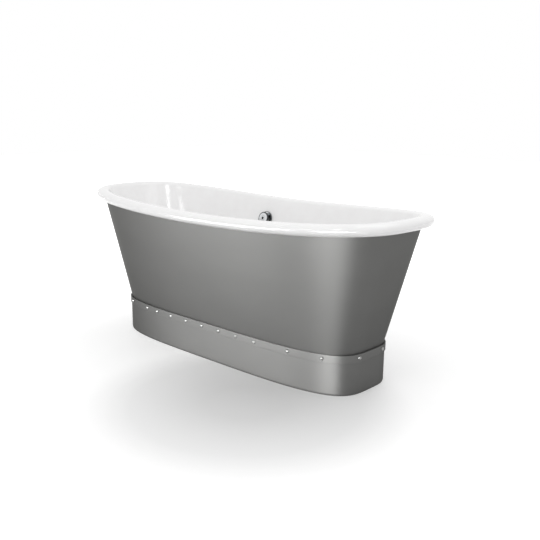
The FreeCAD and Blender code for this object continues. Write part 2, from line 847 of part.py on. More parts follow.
def make_foot(ending, x, y, earthed):
    """Cast one foot: a bolting plate, a square column and a boss tapped for the levelling screw."""
    body = new_body("foot_" + ending)
    plate_base = FOOT_TOP - S.foot_plate
    sketch = new_sketch(body, "XY_Plane", plate_base)
    draw_outline(sketch, rectangle(S.foot_pad_length / 2, S.foot_pad_width / 2))
    plate = pad(body, sketch, S.foot_plate)
    corners = []
    for number, edge in enumerate(plate.Shape.Edges, start=1):
        if abs(edge.tangentAt(edge.FirstParameter).z) > 0.5:
            corners.append("Edge" + str(number))
    fillet = body.newObject("PartDesign::Fillet", body.Label + "_corners")
    fillet.Base = (plate, corners)
    bind(fillet, "Radius", S.foot_corner_radius)
    doc.recompute()
    column = new_sketch(body, "XY_Plane", plate_base)
    draw_outline(column, rectangle(S.foot_column_side / 2, S.foot_column_side / 2))
    pad(body, column, plate_base - S.foot_boss_base - S.foot_boss_height, downwards=True)
    boss = new_sketch(body, "XY_Plane", S.foot_boss_base)
    draw_circle(boss, 0, 0, S.foot_boss_radius)
    pad(body, boss, S.foot_boss_height)
    tapped = new_sketch(body, "XY_Plane", S.foot_boss_base)
    draw_circle(tapped, 0, 0, S.level_screw_radius + S.running_gap)
    pocket(body, tapped, S.level_hole_top - S.foot_boss_base, upwards=True)
    holes = new_sketch(body, "XY_Plane", plate_base)
    for side in (-1, 1):
        draw_circle(holes, S.foot_bolt_spread * side, 0, S.bolt_radius + S.bolt_hole_gap)
    if earthed:
        earth_x, earth_y = earth_place()
        draw_circle(holes, earth_x, earth_y, S.earth_screw_radius + S.running_gap)
    pocket(body, holes, S.foot_plate, upwards=True)
    body.Placement = FreeCAD.Placement(Vec(x, y, 0), FreeCAD.Rotation())
    return body


def earth_place():
    """Give where the earth screw stands on its foot's plate."""
    margin = S.earth_screw_head_radius + S.plinth_sheet
    return S.foot_pad_length / 2 - margin, S.foot_pad_width / 2 - margin


def make_earth_tab(x, y):
    """Cut the earth bonding tab that hangs out from under one foot's plate."""
    body = new_body("earth_tab")
    base = FOOT_TOP - S.foot_plate - S.earth_tab_plate
    earth_x, earth_y = earth_place()
    half_width = S.earth_tab_width / 2
    sketch = new_sketch(body, "XY_Plane", base)
    middle_x = earth_x + S.earth_tab_length / 2 - half_width
    draw_outline(sketch, rectangle(S.earth_tab_length / 2, half_width, middle_x, earth_y))
    pad(body, sketch, S.earth_tab_plate)
    holes = new_sketch(body, "XY_Plane", base)
    draw_circle(holes, earth_x, earth_y, S.earth_screw_radius + S.running_gap)
    far = earth_x + S.earth_tab_length - S.earth_tab_width
    draw_circle(holes, far, earth_y, S.earth_screw_radius + S.running_gap)
    pocket(body, holes, S.earth_tab_plate, upwards=True)
    body.Placement = FreeCAD.Placement(Vec(x, y, 0), FreeCAD.Rotation())
    return body


def make_earth_screw(x, y):
    """Turn the screw that holds the earth tab."""
    body = new_body("earth_screw")
    seat = FOOT_TOP - S.foot_plate - S.earth_tab_plate
    corners = (
        (0, seat - S.earth_screw_head),
        (S.earth_screw_head_radius, seat - S.earth_screw_head),
        (S.earth_screw_head_radius, seat),
        (S.earth_screw_radius, seat),
        (S.earth_screw_radius, FOOT_TOP - S.seat_gap),
        (0, FOOT_TOP - S.seat_gap),
    )
    turn(body, corners)
    earth_x, earth_y = earth_place()
    place = Vec(x + float(earth_x), y + float(earth_y), 0)
    body.Placement = FreeCAD.Placement(place, FreeCAD.Rotation())
    return body


def make_foot_bolts():
    """Make one hexagon bolt and stand a copy under each hole of the four feet."""
    body = new_body("foot_bolt_one")
    seat = FOOT_TOP - S.foot_plate
    head = new_sketch(body, "XY_Plane", seat)
    draw_outline(head, hexagon(S.bolt_head_flats))
    pad(body, head, S.bolt_head_height, downwards=True)
    shank = new_sketch(body, "XY_Plane", seat)
    draw_circle(shank, 0, 0, S.bolt_radius)
    pad(body, shank, S.foot_plate + S.bolt_reach - S.seat_gap)
    copies = []
    for _, x, y in foot_places():
        for side in (-1, 1):
            copy = body.Shape.copy()
            copy.translate(Vec(x + side * float(S.foot_bolt_spread), y, 0))
            copies.append(copy)
    return shape_piece("foot_bolts", Part.makeCompound(copies))


def make_lock_nuts():
    """Make one lock nut and set a copy under each foot's boss."""
    body = new_body("lock_nut_one")
    base = S.foot_boss_base - S.lock_nut_height
    sketch = new_sketch(body, "XY_Plane", base)
    draw_outline(sketch, hexagon(S.lock_nut_flats))
    pad(body, sketch, S.lock_nut_height)
    bore = new_sketch(body, "XY_Plane", base)
    draw_circle(bore, 0, 0, S.level_screw_radius + S.running_gap)
    pocket(body, bore, S.lock_nut_height, upwards=True)
    copies = []
    for _, x, y in foot_places():
        copy = body.Shape.copy()
        copy.translate(Vec(x, y, 0))
        copies.append(copy)
    return shape_piece("lock_nuts", Part.makeCompound(copies))


def make_level_screw(ending, x, y):
    """Make one levelling screw with the hexagon collar that a spanner turns."""
    body = new_body("level_screw_" + ending)
    tip = S.level_pad_height - S.level_tip_depth
    stud = new_sketch(body, "XY_Plane", tip)
    draw_circle(stud, 0, 0, S.level_screw_radius)
    pad(body, stud, S.level_screw_top - tip)
    collar = new_sketch(body, "XY_Plane", S.level_collar_base)
    draw_outline(collar, hexagon(S.level_collar_flats))
    pad(body, collar, S.level_collar_height)
    body.Placement = FreeCAD.Placement(Vec(x, y, 0), FreeCAD.Rotation())
    return body


def make_level_pad(ending, x, y):
    """Turn the round pad that stands on the floor and takes the screw's tip in a socket."""
    body = new_body("level_pad_" + ending)
    tip = S.level_pad_height - S.level_tip_depth
    socket = S.level_screw_radius + S.running_gap
    corners = (
        (0, 0),
        (S.level_pad_radius, 0),
        (S.level_pad_radius, S.level_pad_height),
        (socket, S.level_pad_height),
        (socket, tip),
        (0, tip),
    )
    turn(body, corners)
    body.Placement = FreeCAD.Placement(Vec(x, y, 0), FreeCAD.Rotation())
    return body


def add_spokes(body, half_span, half_width, hub_radius, base, depth, hub_depth, bore):
    """Cross a ring with bars, give them a hub and bore it."""
    sketch = new_sketch(body, "XY_Plane", base)
    draw_outline(sketch, rectangle(half_span, half_width))
    repeat_round(body, pad(body, sketch, depth), SPOKES)
    hub = new_sketch(body, "XY_Plane", base)
    draw_circle(hub, 0, 0, hub_radius)
    pad(body, hub, hub_depth)
    hole = new_sketch(body, "XY_Plane", base)
    draw_circle(hole, 0, 0, bore)
    pocket(body, hole, hub_depth, upwards=True)


def make_overflow_gasket(label, casting, frame, low, high):
    """Mould a gasket ring that takes up the wall's curve, on one side of the casting."""
    outer = Part.makeCylinder(float(S.overflow_gasket_radius), high - low, Vec(0, 0, low))
    inner = Part.makeCylinder(float(S.overflow_hole_radius), high - low, Vec(0, 0, low))
    ring = outer.cut(inner)
    ring.Placement = frame
    return shape_piece(label, ring.cut(casting))


def make_overflow_flange(frame):
    """Turn the overflow's wall flange and its threaded sleeve, with spokes that carry the spindle."""
    body = new_body("overflow_flange")
    back = S.overflow_gasket
    front = S.overflow_gasket + S.overflow_flange_plate
    bevel = S.overflow_flange_plate / 4
    inside = S.overflow_sleeve_radius - S.overflow_sleeve_wall
    corners = (
        (inside, -S.overflow_sleeve_depth),
        (S.overflow_sleeve_radius, -S.overflow_sleeve_depth),
        (S.overflow_sleeve_radius, back),
        (S.overflow_flange_radius, back),
        (S.overflow_flange_radius, front - bevel),
        (S.overflow_flange_radius - bevel, front),
        (inside, front),
    )
    turn(body, corners)
    span = S.overflow_sleeve_radius - S.overflow_sleeve_wall / 2
    hub_depth = S.overflow_flange_plate + S.overflow_hub_rise
    bore = S.spindle_radius + S.running_gap
    half = S.overflow_spoke_width / 2
    plate = S.overflow_flange_plate
    add_spokes(body, span, half, S.overflow_hub_radius, back, plate, hub_depth, bore)
    body.Placement = frame
    return body


DRUM_FRONT = -(S.casting_wall + S.overflow_gasket)
DRUM_BACK = DRUM_FRONT - S.overflow_drum_depth
DRUM_MIDDLE = (DRUM_FRONT + DRUM_BACK) / 2
SPIGOT_RADIUS = S.hose_radius - S.hose_wall - S.running_gap
SPIGOT_START = S.overflow_drum_radius - S.overflow_drum_wall / 2
WIRE_LINE = S.pulley_groove_radius


def make_overflow_drum(frame):
    """Mould the drum behind the wall: it catches the overflow and feeds a hose spigot below."""
    body = new_body("overflow_drum")
    neck = S.overflow_sleeve_radius + S.running_gap
    bore = S.spindle_radius + S.running_gap
    chamber = S.overflow_drum_radius - S.overflow_drum_wall
    corners = (
        (S.overflow_drum_radius, DRUM_FRONT),
        (S.overflow_drum_radius, DRUM_BACK),
        (bore, DRUM_BACK),
        (bore, DRUM_BACK + S.drum_bearing_wall),
        (chamber, DRUM_BACK + S.drum_bearing_wall),
        (chamber, DRUM_FRONT - S.overflow_drum_wall),
        (neck, DRUM_FRONT - S.overflow_drum_wall),
        (neck, DRUM_FRONT),
    )
    turn(body, corners)
    spigot = new_sketch(body, "XZ_Plane", SPIGOT_START)
    draw_circle(spigot, 0, DRUM_MIDDLE, SPIGOT_RADIUS)
    pad(body, spigot, S.spigot_reach)
    bore_sketch = new_sketch(body, "XZ_Plane", SPIGOT_START + S.spigot_reach)
    draw_circle(bore_sketch, 0, DRUM_MIDDLE, SPIGOT_RADIUS - S.spigot_wall)
    pocket(body, bore_sketch, S.spigot_reach + S.overflow_drum_wall)
    gland = new_sketch(body, "YZ_Plane", SPIGOT_START)
    draw_circle(gland, -WIRE_LINE, -S.pulley_setback, S.gland_radius)
    reach = S.overflow_drum_radius + S.gland_reach - SPIGOT_START
    pad(body, gland, reach)
    wire = new_sketch(body, "YZ_Plane", S.overflow_drum_radius + S.gland_reach)
    draw_circle(wire, -WIRE_LINE, -S.pulley_setback, S.wire_hole_radius)
    pocket(body, wire, S.gland_reach + S.overflow_drum_wall * 2)
    body.Placement = frame
    return body


def make_spindle(frame):
    """Turn the spindle that carries the knob in front and the cable pulley behind."""
    body = new_body("overflow_spindle")
    front = knob_bore_end()
    hole = S.knob_screw_radius + S.running_gap
    corners = (
        (0, DRUM_BACK + S.seat_gap),
        (S.spindle_radius, DRUM_BACK + S.seat_gap),
        (S.spindle_radius, front),
        (hole, front),
        (hole, front - S.knob_screw_length),
        (0, front - S.knob_screw_length),
    )
    turn(body, corners)
    body.Placement = frame
    return body


def make_pulley(frame):
    """Turn the small grooved pulley that winds the control wire."""
    body = new_body("cable_pulley")
    bore = S.spindle_radius + S.running_gap
    back = -S.pulley_setback - S.pulley_width / 2
    flange = S.pulley_width / 5
    middle = -S.pulley_setback
    corners = (
        (bore, back),
        (S.pulley_radius, back),
        (S.pulley_radius, back + flange),
        (S.pulley_groove_radius, middle - flange / 2),
        (S.pulley_groove_radius, middle + flange / 2),
        (S.pulley_radius, back + S.pulley_width - flange),
        (S.pulley_radius, back + S.pulley_width),
        (bore, back + S.pulley_width),
    )
    turn(body, corners)
    body.Placement = frame
    return body


def knob_face():
    """Give the height of the knob's rim face, where its crown starts."""
    return S.knob_base + S.knob_rim


def knob_seat():
    """Give the height of the screw's seat in the knob."""
    return knob_face() + S.knob_crown - S.knob_recess_depth


def knob_bore_end():
    """Give the height at which the knob's bore for the spindle ends."""
    return knob_seat() - S.knob_crown


def make_knob(frame):
    """Turn the control knob: a rear boss, a broad disc with a low crown, and a recess for its screw."""
    body = new_body("overflow_knob")
    bevel = S.knob_rim / 5
    bore = S.spindle_radius + S.running_gap
    hub_front = S.overflow_gasket + S.overflow_flange_plate + S.overflow_hub_rise
    boss_back = hub_front + S.seat_gap
    corners = (
        (bore, boss_back),
        (S.knob_boss_radius, boss_back),
        (S.knob_boss_radius, S.knob_base),
        (S.knob_radius - bevel, S.knob_base),
        (S.knob_radius, S.knob_base + bevel),
        (S.knob_radius, knob_face() - bevel),
        (S.knob_radius - bevel, knob_face()),
        (S.knob_recess_radius, knob_face() + S.knob_crown),
        (S.knob_recess_radius, knob_seat()),
        (S.knob_screw_radius + S.running_gap, knob_seat()),
        (S.knob_screw_radius + S.running_gap, knob_bore_end()),
        (bore, knob_bore_end()),
    )
    turn(body, corners)
    body.Placement = frame
    return body


def make_knob_screw(frame):
    """Turn the screw that pulls the knob onto the spindle."""
    body = new_body("knob_screw")
    corners = (
        (0, knob_bore_end() - S.knob_screw_length + S.seat_gap),
        (S.knob_screw_radius, knob_bore_end() - S.knob_screw_length + S.seat_gap),
        (S.knob_screw_radius, knob_seat()),
        (S.knob_screw_head_radius, knob_seat()),
        (S.knob_screw_head_radius, knob_seat() + S.knob_screw_head),
        (0, knob_seat() + S.knob_screw_head),
    )
    turn(body, corners)
    body.Placement = frame
    return body


# The waste stands under the overflow. Heights in its pieces count from the bowl's floor.

WASTE_PLACE = FreeCAD.Placement(
    Vec(float(WASTE_X), 0, float(S.bowl_floor_height)), FreeCAD.Rotation()
)
RECESS = -S.waste_recess_depth
FLANGE_SEAT = RECESS + S.waste_gasket
FLANGE_TOP = FLANGE_SEAT + S.waste_flange_plate
BOSS_BOTTOM = -(S.casting_wall + S.waste_boss_depth)
WASTE_COLLAR_TOP = BOSS_BOTTOM - S.waste_rear_gasket
LIFT_HALF = S.plug_lift / 2
PIVOT_X = Size(
    math.sqrt(float(S.rocker_arm) ** 2 - float(LIFT_HALF) ** 2),
    "sqrt(Sizes.rocker_arm ^ 2 - " + LIFT_HALF.words + " ^ 2)",
)


def make_washer(label, inner, outer, low, high):
    """Turn a flat ring for the waste."""
    body = new_body(label)
    turn(body, ((inner, low), (outer, low), (outer, high), (inner, high)))
    body.Placement = WASTE_PLACE
    return body


def make_waste_flange():
    """Turn the waste's flange and threaded sleeve, crossed low down by bars that guide the lifter."""
    body = new_body("waste_flange")
    bevel = S.waste_flange_plate / 3
    corners = (
        (S.waste_throat_radius, -S.waste_sleeve_depth),
        (S.waste_sleeve_radius, -S.waste_sleeve_depth),
        (S.waste_sleeve_radius, FLANGE_SEAT),
        (S.waste_flange_radius, FLANGE_SEAT),
        (S.waste_flange_radius, FLANGE_TOP - bevel),
        (S.waste_flange_radius - bevel, FLANGE_TOP),
        (S.waste_throat_radius, FLANGE_TOP),
    )
    turn(body, corners)
    span = (S.waste_throat_radius + S.waste_sleeve_radius) / 2
    depth = S.spider_depth
    bore = S.lifter_radius + S.running_gap
    half = S.spider_web / 2
    base = -S.waste_sleeve_depth
    add_spokes(body, span, half, S.spider_hub_radius, base, depth, depth, bore)
    body.Placement = WASTE_PLACE
    return body


def make_waste_body():
    """Mould the waste's body: neck, chamber, threaded tail, hose spigot and the rocker's box."""
    body = new_body("waste_body")
    neck = S.waste_sleeve_radius + S.running_gap
    collar_bottom = WASTE_COLLAR_TOP - S.waste_collar_plate
    chamber = S.waste_chamber_radius - S.waste_chamber_wall
    bottom = -S.waste_chamber_depth
    tail_bore = S.waste_tail_radius - S.waste_tail_wall
    neck_bottom = -S.waste_sleeve_depth - S.waste_chamber_wall / 2
    corners = (
        (neck, WASTE_COLLAR_TOP),
        (S.waste_collar_radius, WASTE_COLLAR_TOP),
        (S.waste_collar_radius, collar_bottom),
        (S.waste_chamber_radius, collar_bottom),
        (S.waste_chamber_radius, bottom),
        (S.waste_tail_radius, bottom - S.waste_cone_depth),
        (S.waste_tail_radius, -S.waste_tail_depth),
        (tail_bore, -S.waste_tail_depth),
        (tail_bore, bottom - S.waste_cone_depth / 2),
        (chamber, bottom + S.waste_chamber_wall),
        (chamber, neck_bottom),
        (neck, neck_bottom),
    )
    turn(body, corners)
    wall_middle = S.waste_chamber_radius - S.waste_chamber_wall / 2
    port = -S.waste_port_drop
    spigot = new_sketch(body, "XZ_Plane", -wall_middle)
    draw_circle(spigot, 0, port, SPIGOT_RADIUS)
    pad(body, spigot, S.spigot_reach, downwards=True)
    bore = new_sketch(body, "XZ_Plane", -(wall_middle + S.spigot_reach))
    draw_circle(bore, 0, port, SPIGOT_RADIUS - S.spigot_wall)
    pocket(body, bore, S.spigot_reach + S.waste_chamber_wall, upwards=True)
    box_middle = -(S.rocker_box_top + S.rocker_box_height / 2)
    box = new_sketch(body, "YZ_Plane", wall_middle)
    draw_outline(box, rectangle(S.rocker_box_width / 2, S.rocker_box_height / 2, 0, box_middle))
    pad(body, box, S.rocker_box_reach - wall_middle)
    wall = S.rocker_box_wall
    hollow = new_sketch(body, "YZ_Plane", S.rocker_box_reach - wall)
    half_y = S.rocker_box_width / 2 - wall
    half_z = S.rocker_box_height / 2 - wall
    draw_outline(hollow, rectangle(half_y, half_z, 0, box_middle))
    pocket(body, hollow, S.rocker_box_reach - wall - S.waste_throat_radius)
    wire_level = -S.rocker_pivot_drop + S.rocker_crank
    gland = new_sketch(body, "YZ_Plane", S.rocker_box_reach)
    draw_circle(gland, 0, wire_level, S.gland_radius)
    pad(body, gland, S.gland_reach)
    wire = new_sketch(body, "YZ_Plane", S.rocker_box_reach + S.gland_reach)
    draw_circle(wire, 0, wire_level, S.wire_hole_radius)
    pocket(body, wire, S.gland_reach + wall + S.wire_hole_radius)
    pin = new_sketch(body, "XZ_Plane", S.rocker_box_width / 2)
    draw_circle(pin, PIVOT_X, -S.rocker_pivot_drop, S.rocker_pin_radius + S.running_gap)
    pocket(body, pin, S.rocker_box_width)
    body.Placement = WASTE_PLACE
    return body


def make_lifter():
    """Turn the pin that the rocker pushes up through the flange's guide."""
    body = new_body("plug_lifter")
    top = -(S.plug_stem_end + S.lifter_gap)
    bottom = -S.rocker_pivot_drop - LIFT_HALF + S.rocker_tip_radius + S.seat_gap
    nose = S.lifter_radius / 3
    shoulder = bottom + S.lifter_radius - nose
    corners = (
        (0, bottom),
        (nose, bottom),
        (S.lifter_radius, shoulder),
        (S.lifter_radius, top),
        (0, top),
    )
    turn(body, corners)
    body.Placement = WASTE_PLACE
    return body


def make_plug():
    """Turn the pop-up plug: a crowned cap on a stem, kept in the throat by fins."""
    body = new_body("waste_plug")
    seal_top = FLANGE_TOP + S.plug_seal_lift + S.plug_seal
    edge_top = seal_top + S.plug_cap_edge
    fin_bottom = FLANGE_SEAT - S.plug_fin_depth
    corners = (
        (0, -S.plug_stem_end),
        (S.plug_stem_radius, -S.plug_stem_end),
        (S.plug_stem_radius, fin_bottom),
        (S.plug_hub_radius, fin_bottom),
        (S.plug_hub_radius, seal_top),
        (S.plug_cap_radius, seal_top),
        (S.plug_cap_radius, edge_top),
        (S.plug_seal_radius / 2, edge_top + S.plug_cap_crown),
        (0, edge_top + S.plug_cap_crown),
    )
    turn(body, corners)
    fin = new_sketch(body, "XY_Plane", fin_bottom)
    reach = S.waste_throat_radius - S.running_gap
    inner = S.plug_hub_radius / 2
    half_web = S.plug_fin_web / 2
    draw_outline(fin, ((inner, -half_web), (reach, -half_web), (reach, half_web), (inner, half_web)))
    repeat_round(body, pad(body, fin, S.plug_fin_depth), FINS)
    body.Placement = WASTE_PLACE
    return body


def make_rocker():
    """Make the bell crank: one arm under the lifter, the other up to the control wire."""
    pivot = Vec(float(PIVOT_X), 0, -float(S.rocker_pivot_drop))
    drop = math.asin(float(LIFT_HALF / S.rocker_arm))
    tip = Vec(0, 0, -float(S.rocker_pivot_drop + LIFT_HALF))
    crank = pivot + Vec(-math.sin(drop), 0, math.cos(drop)) * float(S.rocker_crank)
    web = float(S.rocker_web)
    across = Vec(0, 1, 0)
    back = Vec(0, -web / 2, 0)
    solid = Part.makeCylinder(float(S.rocker_hub_radius), web, pivot + back, across)
    for end, radius in ((tip, float(S.rocker_tip_radius)), (crank, float(S.rocker_crank_radius))):
        solid = solid.fuse(Part.makeCylinder(radius, web, end + back, across))
        aside = (end - pivot).normalize().cross(across) * radius
        corners = [pivot + aside, end + aside, end - aside, pivot - aside, pivot + aside]
        face = Part.Face(Part.makePolygon([corner + back for corner in corners]))
        solid = solid.fuse(face.extrude(across * web))
    bore = float(S.rocker_pin_radius + S.running_gap)
    solid = solid.cut(Part.makeCylinder(bore, web * 2, pivot + back * 2, across))
    return shape_piece("lift_rocker", solid.removeSplitter(), WASTE_PLACE)


def make_rocker_pin():
    """Make the pin that the rocker turns on, flush with both sides of its box."""
    pin = doc.addObject("Part::Cylinder", "rocker_pin")
    pin.Label = "rocker_pin"
    bind(pin, "Radius", S.rocker_pin_radius)
    bind(pin, "Height", S.rocker_box_width)
    start = Vec(float(PIVOT_X), float(S.rocker_box_width / 2), -float(S.rocker_pivot_drop))
    lying = FreeCAD.Placement(start, FreeCAD.Rotation(Vec(1, 0, 0), 90))
    pin.Placement = WASTE_PLACE.multiply(lying)
    return pin


# Hose and cable: tubes along straight runs joined by tangent arcs

BEND_SHARE = 0.45


def bent_path(points):
    """Join points by straight runs and arcs, each arc as large as its two runs allow."""
    edges = []
    start = points[0]
    for before, corner, after in zip(points, points[1:], points[2:]):
        back, ahead = before - corner, after - corner
        half_turn = (math.pi - back.getAngle(ahead)) / 2
        setback = BEND_SHARE * min(back.Length, ahead.Length)
        back, ahead = back.normalize(), ahead.normalize()
        radius = setback / math.tan(half_turn)
        middle = (back + ahead).normalize()
        centre = corner + middle * math.hypot(radius, setback)
        arc_start, arc_end = corner + back * setback, corner + ahead * setback
        edges.append(Part.makeLine(start, arc_start))
        edges.append(Part.Arc(arc_start, centre - middle * radius, arc_end).toShape())
        start = arc_end
    edges.append(Part.makeLine(start, points[-1]))
    return Part.Wire(edges)


def tube(points, radius):
    """Sweep a round rod along a path of bends."""
    path = bent_path(points)
    start, heading = points[0], points[1] - points[0]
    circle = Part.Wire([Part.makeCircle(radius, start, heading)])
    rod = path.makePipeShell([circle], True, False)
    section = math.pi * radius ** 2
    if abs(rod.Volume - section * path.Length) > section:
        raise RuntimeError("a tube's volume is not its section times its length")
    return rod


def gap_middle(casting, skirt, x, height):
    """Give the point midway between the casting's back and the skirt at one height."""
    start, end = Vec(x, 0, height), Vec(x, float(S.bath_width / 2), height)
    outer_face = crossings(casting, start, end)[-1]
    sheet_face = crossings(skirt, start, end)[0]
    return (outer_face + sheet_face) / 2


def hose_points(casting, skirt, frame):
    """Lead the hose from the drum's spigot down the gap and in to the waste."""
    reach = SPIGOT_START + S.spigot_reach - S.hose_lap
    top = frame.multVec(Vec(0, -float(reach), float(DRUM_MIDDLE)))
    lead = frame.multVec(Vec(0, -float(reach + S.hose_lap * 2), float(DRUM_MIDDLE)))
    wall_middle = S.waste_chamber_radius - S.waste_chamber_wall / 2
    end_y = float(wall_middle + S.spigot_reach - S.hose_lap)
    level = float(S.bowl_floor_height - S.waste_port_drop)
    x = float(WASTE_X)
    below = float(S.bowl_floor_height + S.rim_line_height) / 2
    shoulder = float(S.bowl_floor_height) + float(S.waste_collar_radius) * 2
    middle = gap_middle(casting, skirt, x, below)
    low = gap_middle(casting, skirt, x, shoulder)
    slope = (middle - low) / (middle.z - low.z)
    corner = low + slope * (level - low.z)
    return [top, lead, middle, corner, Vec(x, end_y, level)]


def make_hose(points):
    """Make the overflow hose with its bore."""
    outer = tube(points, float(S.hose_radius))
    inner = tube(points, float(S.hose_radius - S.hose_wall))
    return shape_piece("overflow_hose", outer.cut(inner))


def make_clips(points):
    """Close a screw clip round each end of the hose."""
    inner = float(S.hose_radius + S.running_gap)
    outer = inner + float(S.clip_wall)
    width, ear = float(S.clip_width), float(S.clip_ear)
    setback = float(S.hose_lap - S.clip_width) / 2
    clips = []
    for end, towards in ((points[0], points[1]), (points[-1], points[-2])):
        heading = (towards - end).normalize()
        base = end + heading * setback
        ring = Part.makeCylinder(outer, width, base, heading)
        barrel_at = base + Vec(outer, 0, 0) + heading * (width / 2)
        across = Vec(1, 0, 0).cross(heading).normalize()
        barrel = Part.makeCylinder(ear / 2, ear * 2, barrel_at - across * ear, across)
        ring = ring.fuse(barrel)
        clips.append(ring.cut(Part.makeCylinder(inner, width * 2, base - heading * (width / 2), heading)))
    return shape_piece("hose_clips", Part.makeCompound(clips))


def cable_points(casting, skirt, frame):
    """Lead the control cable from the drum's gland down the gap and round to the rocker's box."""
    gland = float(S.overflow_drum_radius + S.gland_reach)
    start = frame.multVec(Vec(gland, -float(WIRE_LINE), -float(S.pulley_setback)))
    lead = start + Vec(float(S.cable_lead), 0, 0)
    x = lead.x
    floor = float(S.bowl_floor_height)
    level = floor - float(S.rocker_pivot_drop) + float(S.rocker_crank)
    depth = start.z - floor
    upper = gap_middle(casting, skirt, x, floor + depth * 2 / 3)
    lower = gap_middle(casting, skirt, x, floor + depth / 3)
    upper.x += float(S.cable_dip)
    inner = float(S.plinth_width / 2 - LEG_OFFSET - S.skirt_sheet)
    corner = Vec(x + float(S.cable_dip), inner - float(S.cable_swing), level)
    end = Vec(float(WASTE_X + S.rocker_box_reach + S.gland_reach), 0, level)
    turn_in = Vec(end.x + float(S.cable_lead), 0, level)
    return [start, lead, upper, lower, corner, turn_in, end]


def make_cable(points):
    """Make the control cable's sheath."""
    return shape_piece("control_cable", tube(points, float(S.cable_radius)))


# Assembly

bowl_blank = make_bowl_blank()
OVERFLOW = overflow_frame(bowl_blank)
casting_piece = make_casting(bowl_blank, OVERFLOW)
skirt_piece = make_skirt()
STRAP_LOW = float(S.plinth_height - S.strap_height)
STRAP_HIGH = float(S.plinth_height)
PIECES = [
    casting_piece,
    skirt_piece,
    make_band("plinth_band", 0.0, STRAP_HIGH, -float(S.plinth_sheet), 0.0, PLINTH_ROWS),
    make_band("rivet_strap", STRAP_LOW, STRAP_HIGH, float(S.seat_gap), float(STRAP_FACE), 1),
    make_rivets(),
    make_brackets(bowl_blank, skirt_piece.Shape),
    make_foot_bolts(),
    make_lock_nuts(),
]
for foot_ending, foot_x, foot_y in foot_places():
    is_earthed = foot_ending == "rear_right"
    PIECES.append(make_foot(foot_ending, foot_x, foot_y, is_earthed))
    PIECES.append(make_level_screw(foot_ending, foot_x, foot_y))
    PIECES.append(make_level_pad(foot_ending, foot_x, foot_y))
    if is_earthed:
        PIECES.append(make_earth_tab(foot_x, foot_y))
        PIECES.append(make_earth_screw(foot_x, foot_y))

WALL_MIDDLE = float(S.casting_wall / 2)
PIECES += [
    make_overflow_gasket(
        "overflow_front_gasket", casting_piece.Shape, OVERFLOW, -WALL_MIDDLE, float(S.overflow_gasket)
    ),
    make_overflow_gasket(
        "overflow_rear_gasket", casting_piece.Shape, OVERFLOW, float(DRUM_FRONT), -WALL_MIDDLE
    ),
    make_overflow_flange(OVERFLOW),
    make_overflow_drum(OVERFLOW),
    make_spindle(OVERFLOW),
    make_pulley(OVERFLOW),
    make_knob(OVERFLOW),
    make_knob_screw(OVERFLOW),
    make_washer(
        "waste_front_gasket", S.waste_hole_radius, S.waste_flange_radius, RECESS, FLANGE_SEAT
    ),
    make_washer(
        "waste_rear_gasket", S.waste_hole_radius, S.waste_collar_radius, WASTE_COLLAR_TOP, BOSS_BOTTOM
    ),
    make_waste_flange(),
    make_waste_body(),
    make_lifter(),
    make_plug(),
    make_washer(
        "plug_seal",
        S.plug_hub_radius + S.running_gap,
        S.plug_seal_radius,
        FLANGE_TOP + S.plug_seal_lift,
        FLANGE_TOP + S.plug_seal_lift + S.plug_seal,
    ),
    make_rocker(),
    make_rocker_pin(),
]
hose_route = hose_points(casting_piece.Shape, skirt_piece.Shape, OVERFLOW)
cable_route = cable_points(casting_piece.Shape, skirt_piece.Shape, OVERFLOW)
PIECES += [make_hose(hose_route), make_clips(hose_route), make_cable(cable_route)]
doc.recompute()

# Checks and export

for thing in doc.Objects:
    if "Invalid" in thing.State or "Error" in thing.State:
        raise RuntimeError(thing.Label + " did not recompute")

os.makedirs("parts", exist_ok=True)
for piece in PIECES:
    if piece.Shape.isNull() or not piece.Shape.isValid():
        raise RuntimeError(piece.Label + " has no valid shape")
    piece.Shape.exportStep("parts/" + piece.Label + ".step")
    print(piece.Label, len(piece.Shape.Solids), "solid(s),", round(piece.Shape.Volume), "mm3")
place = OVERFLOW.Base
print("overflow at", [round(value, 2) for value in place], "axis", OVERFLOW.Rotation.multVec(Vec(0, 0, 1)))
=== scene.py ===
# %% [markdown]
# A double ended cast iron bath, dressed for a studio picture. The real thing is a white enamelled
# casting with a rolled rim, in a skirt of burnished sheet metal that a riveted strap joins to an
# upright plinth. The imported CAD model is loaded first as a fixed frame. Everything new is a surface
# worked out with numpy and fitted over that frame, in metres.

# %% Load the frame
import json
import math

import bmesh
import bpy
import numpy as np
from mathutils import Matrix, Vector

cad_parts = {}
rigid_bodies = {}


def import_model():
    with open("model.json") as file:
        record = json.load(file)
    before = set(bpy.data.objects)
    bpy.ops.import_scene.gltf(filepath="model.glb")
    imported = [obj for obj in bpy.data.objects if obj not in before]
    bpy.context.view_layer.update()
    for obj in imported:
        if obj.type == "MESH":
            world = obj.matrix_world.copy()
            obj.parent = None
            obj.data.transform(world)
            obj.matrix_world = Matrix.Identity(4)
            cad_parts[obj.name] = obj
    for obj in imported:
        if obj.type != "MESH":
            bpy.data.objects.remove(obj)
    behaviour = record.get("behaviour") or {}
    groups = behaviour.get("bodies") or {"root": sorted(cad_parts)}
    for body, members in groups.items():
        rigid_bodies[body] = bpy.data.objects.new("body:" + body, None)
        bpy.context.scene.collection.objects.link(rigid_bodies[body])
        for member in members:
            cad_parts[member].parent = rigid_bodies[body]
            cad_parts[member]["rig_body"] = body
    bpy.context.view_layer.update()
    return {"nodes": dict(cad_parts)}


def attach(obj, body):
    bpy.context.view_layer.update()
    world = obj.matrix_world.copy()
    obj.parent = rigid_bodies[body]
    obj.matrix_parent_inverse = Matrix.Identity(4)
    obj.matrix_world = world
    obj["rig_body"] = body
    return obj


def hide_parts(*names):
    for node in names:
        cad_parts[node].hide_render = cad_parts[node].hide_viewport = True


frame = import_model()
MM = 0.001

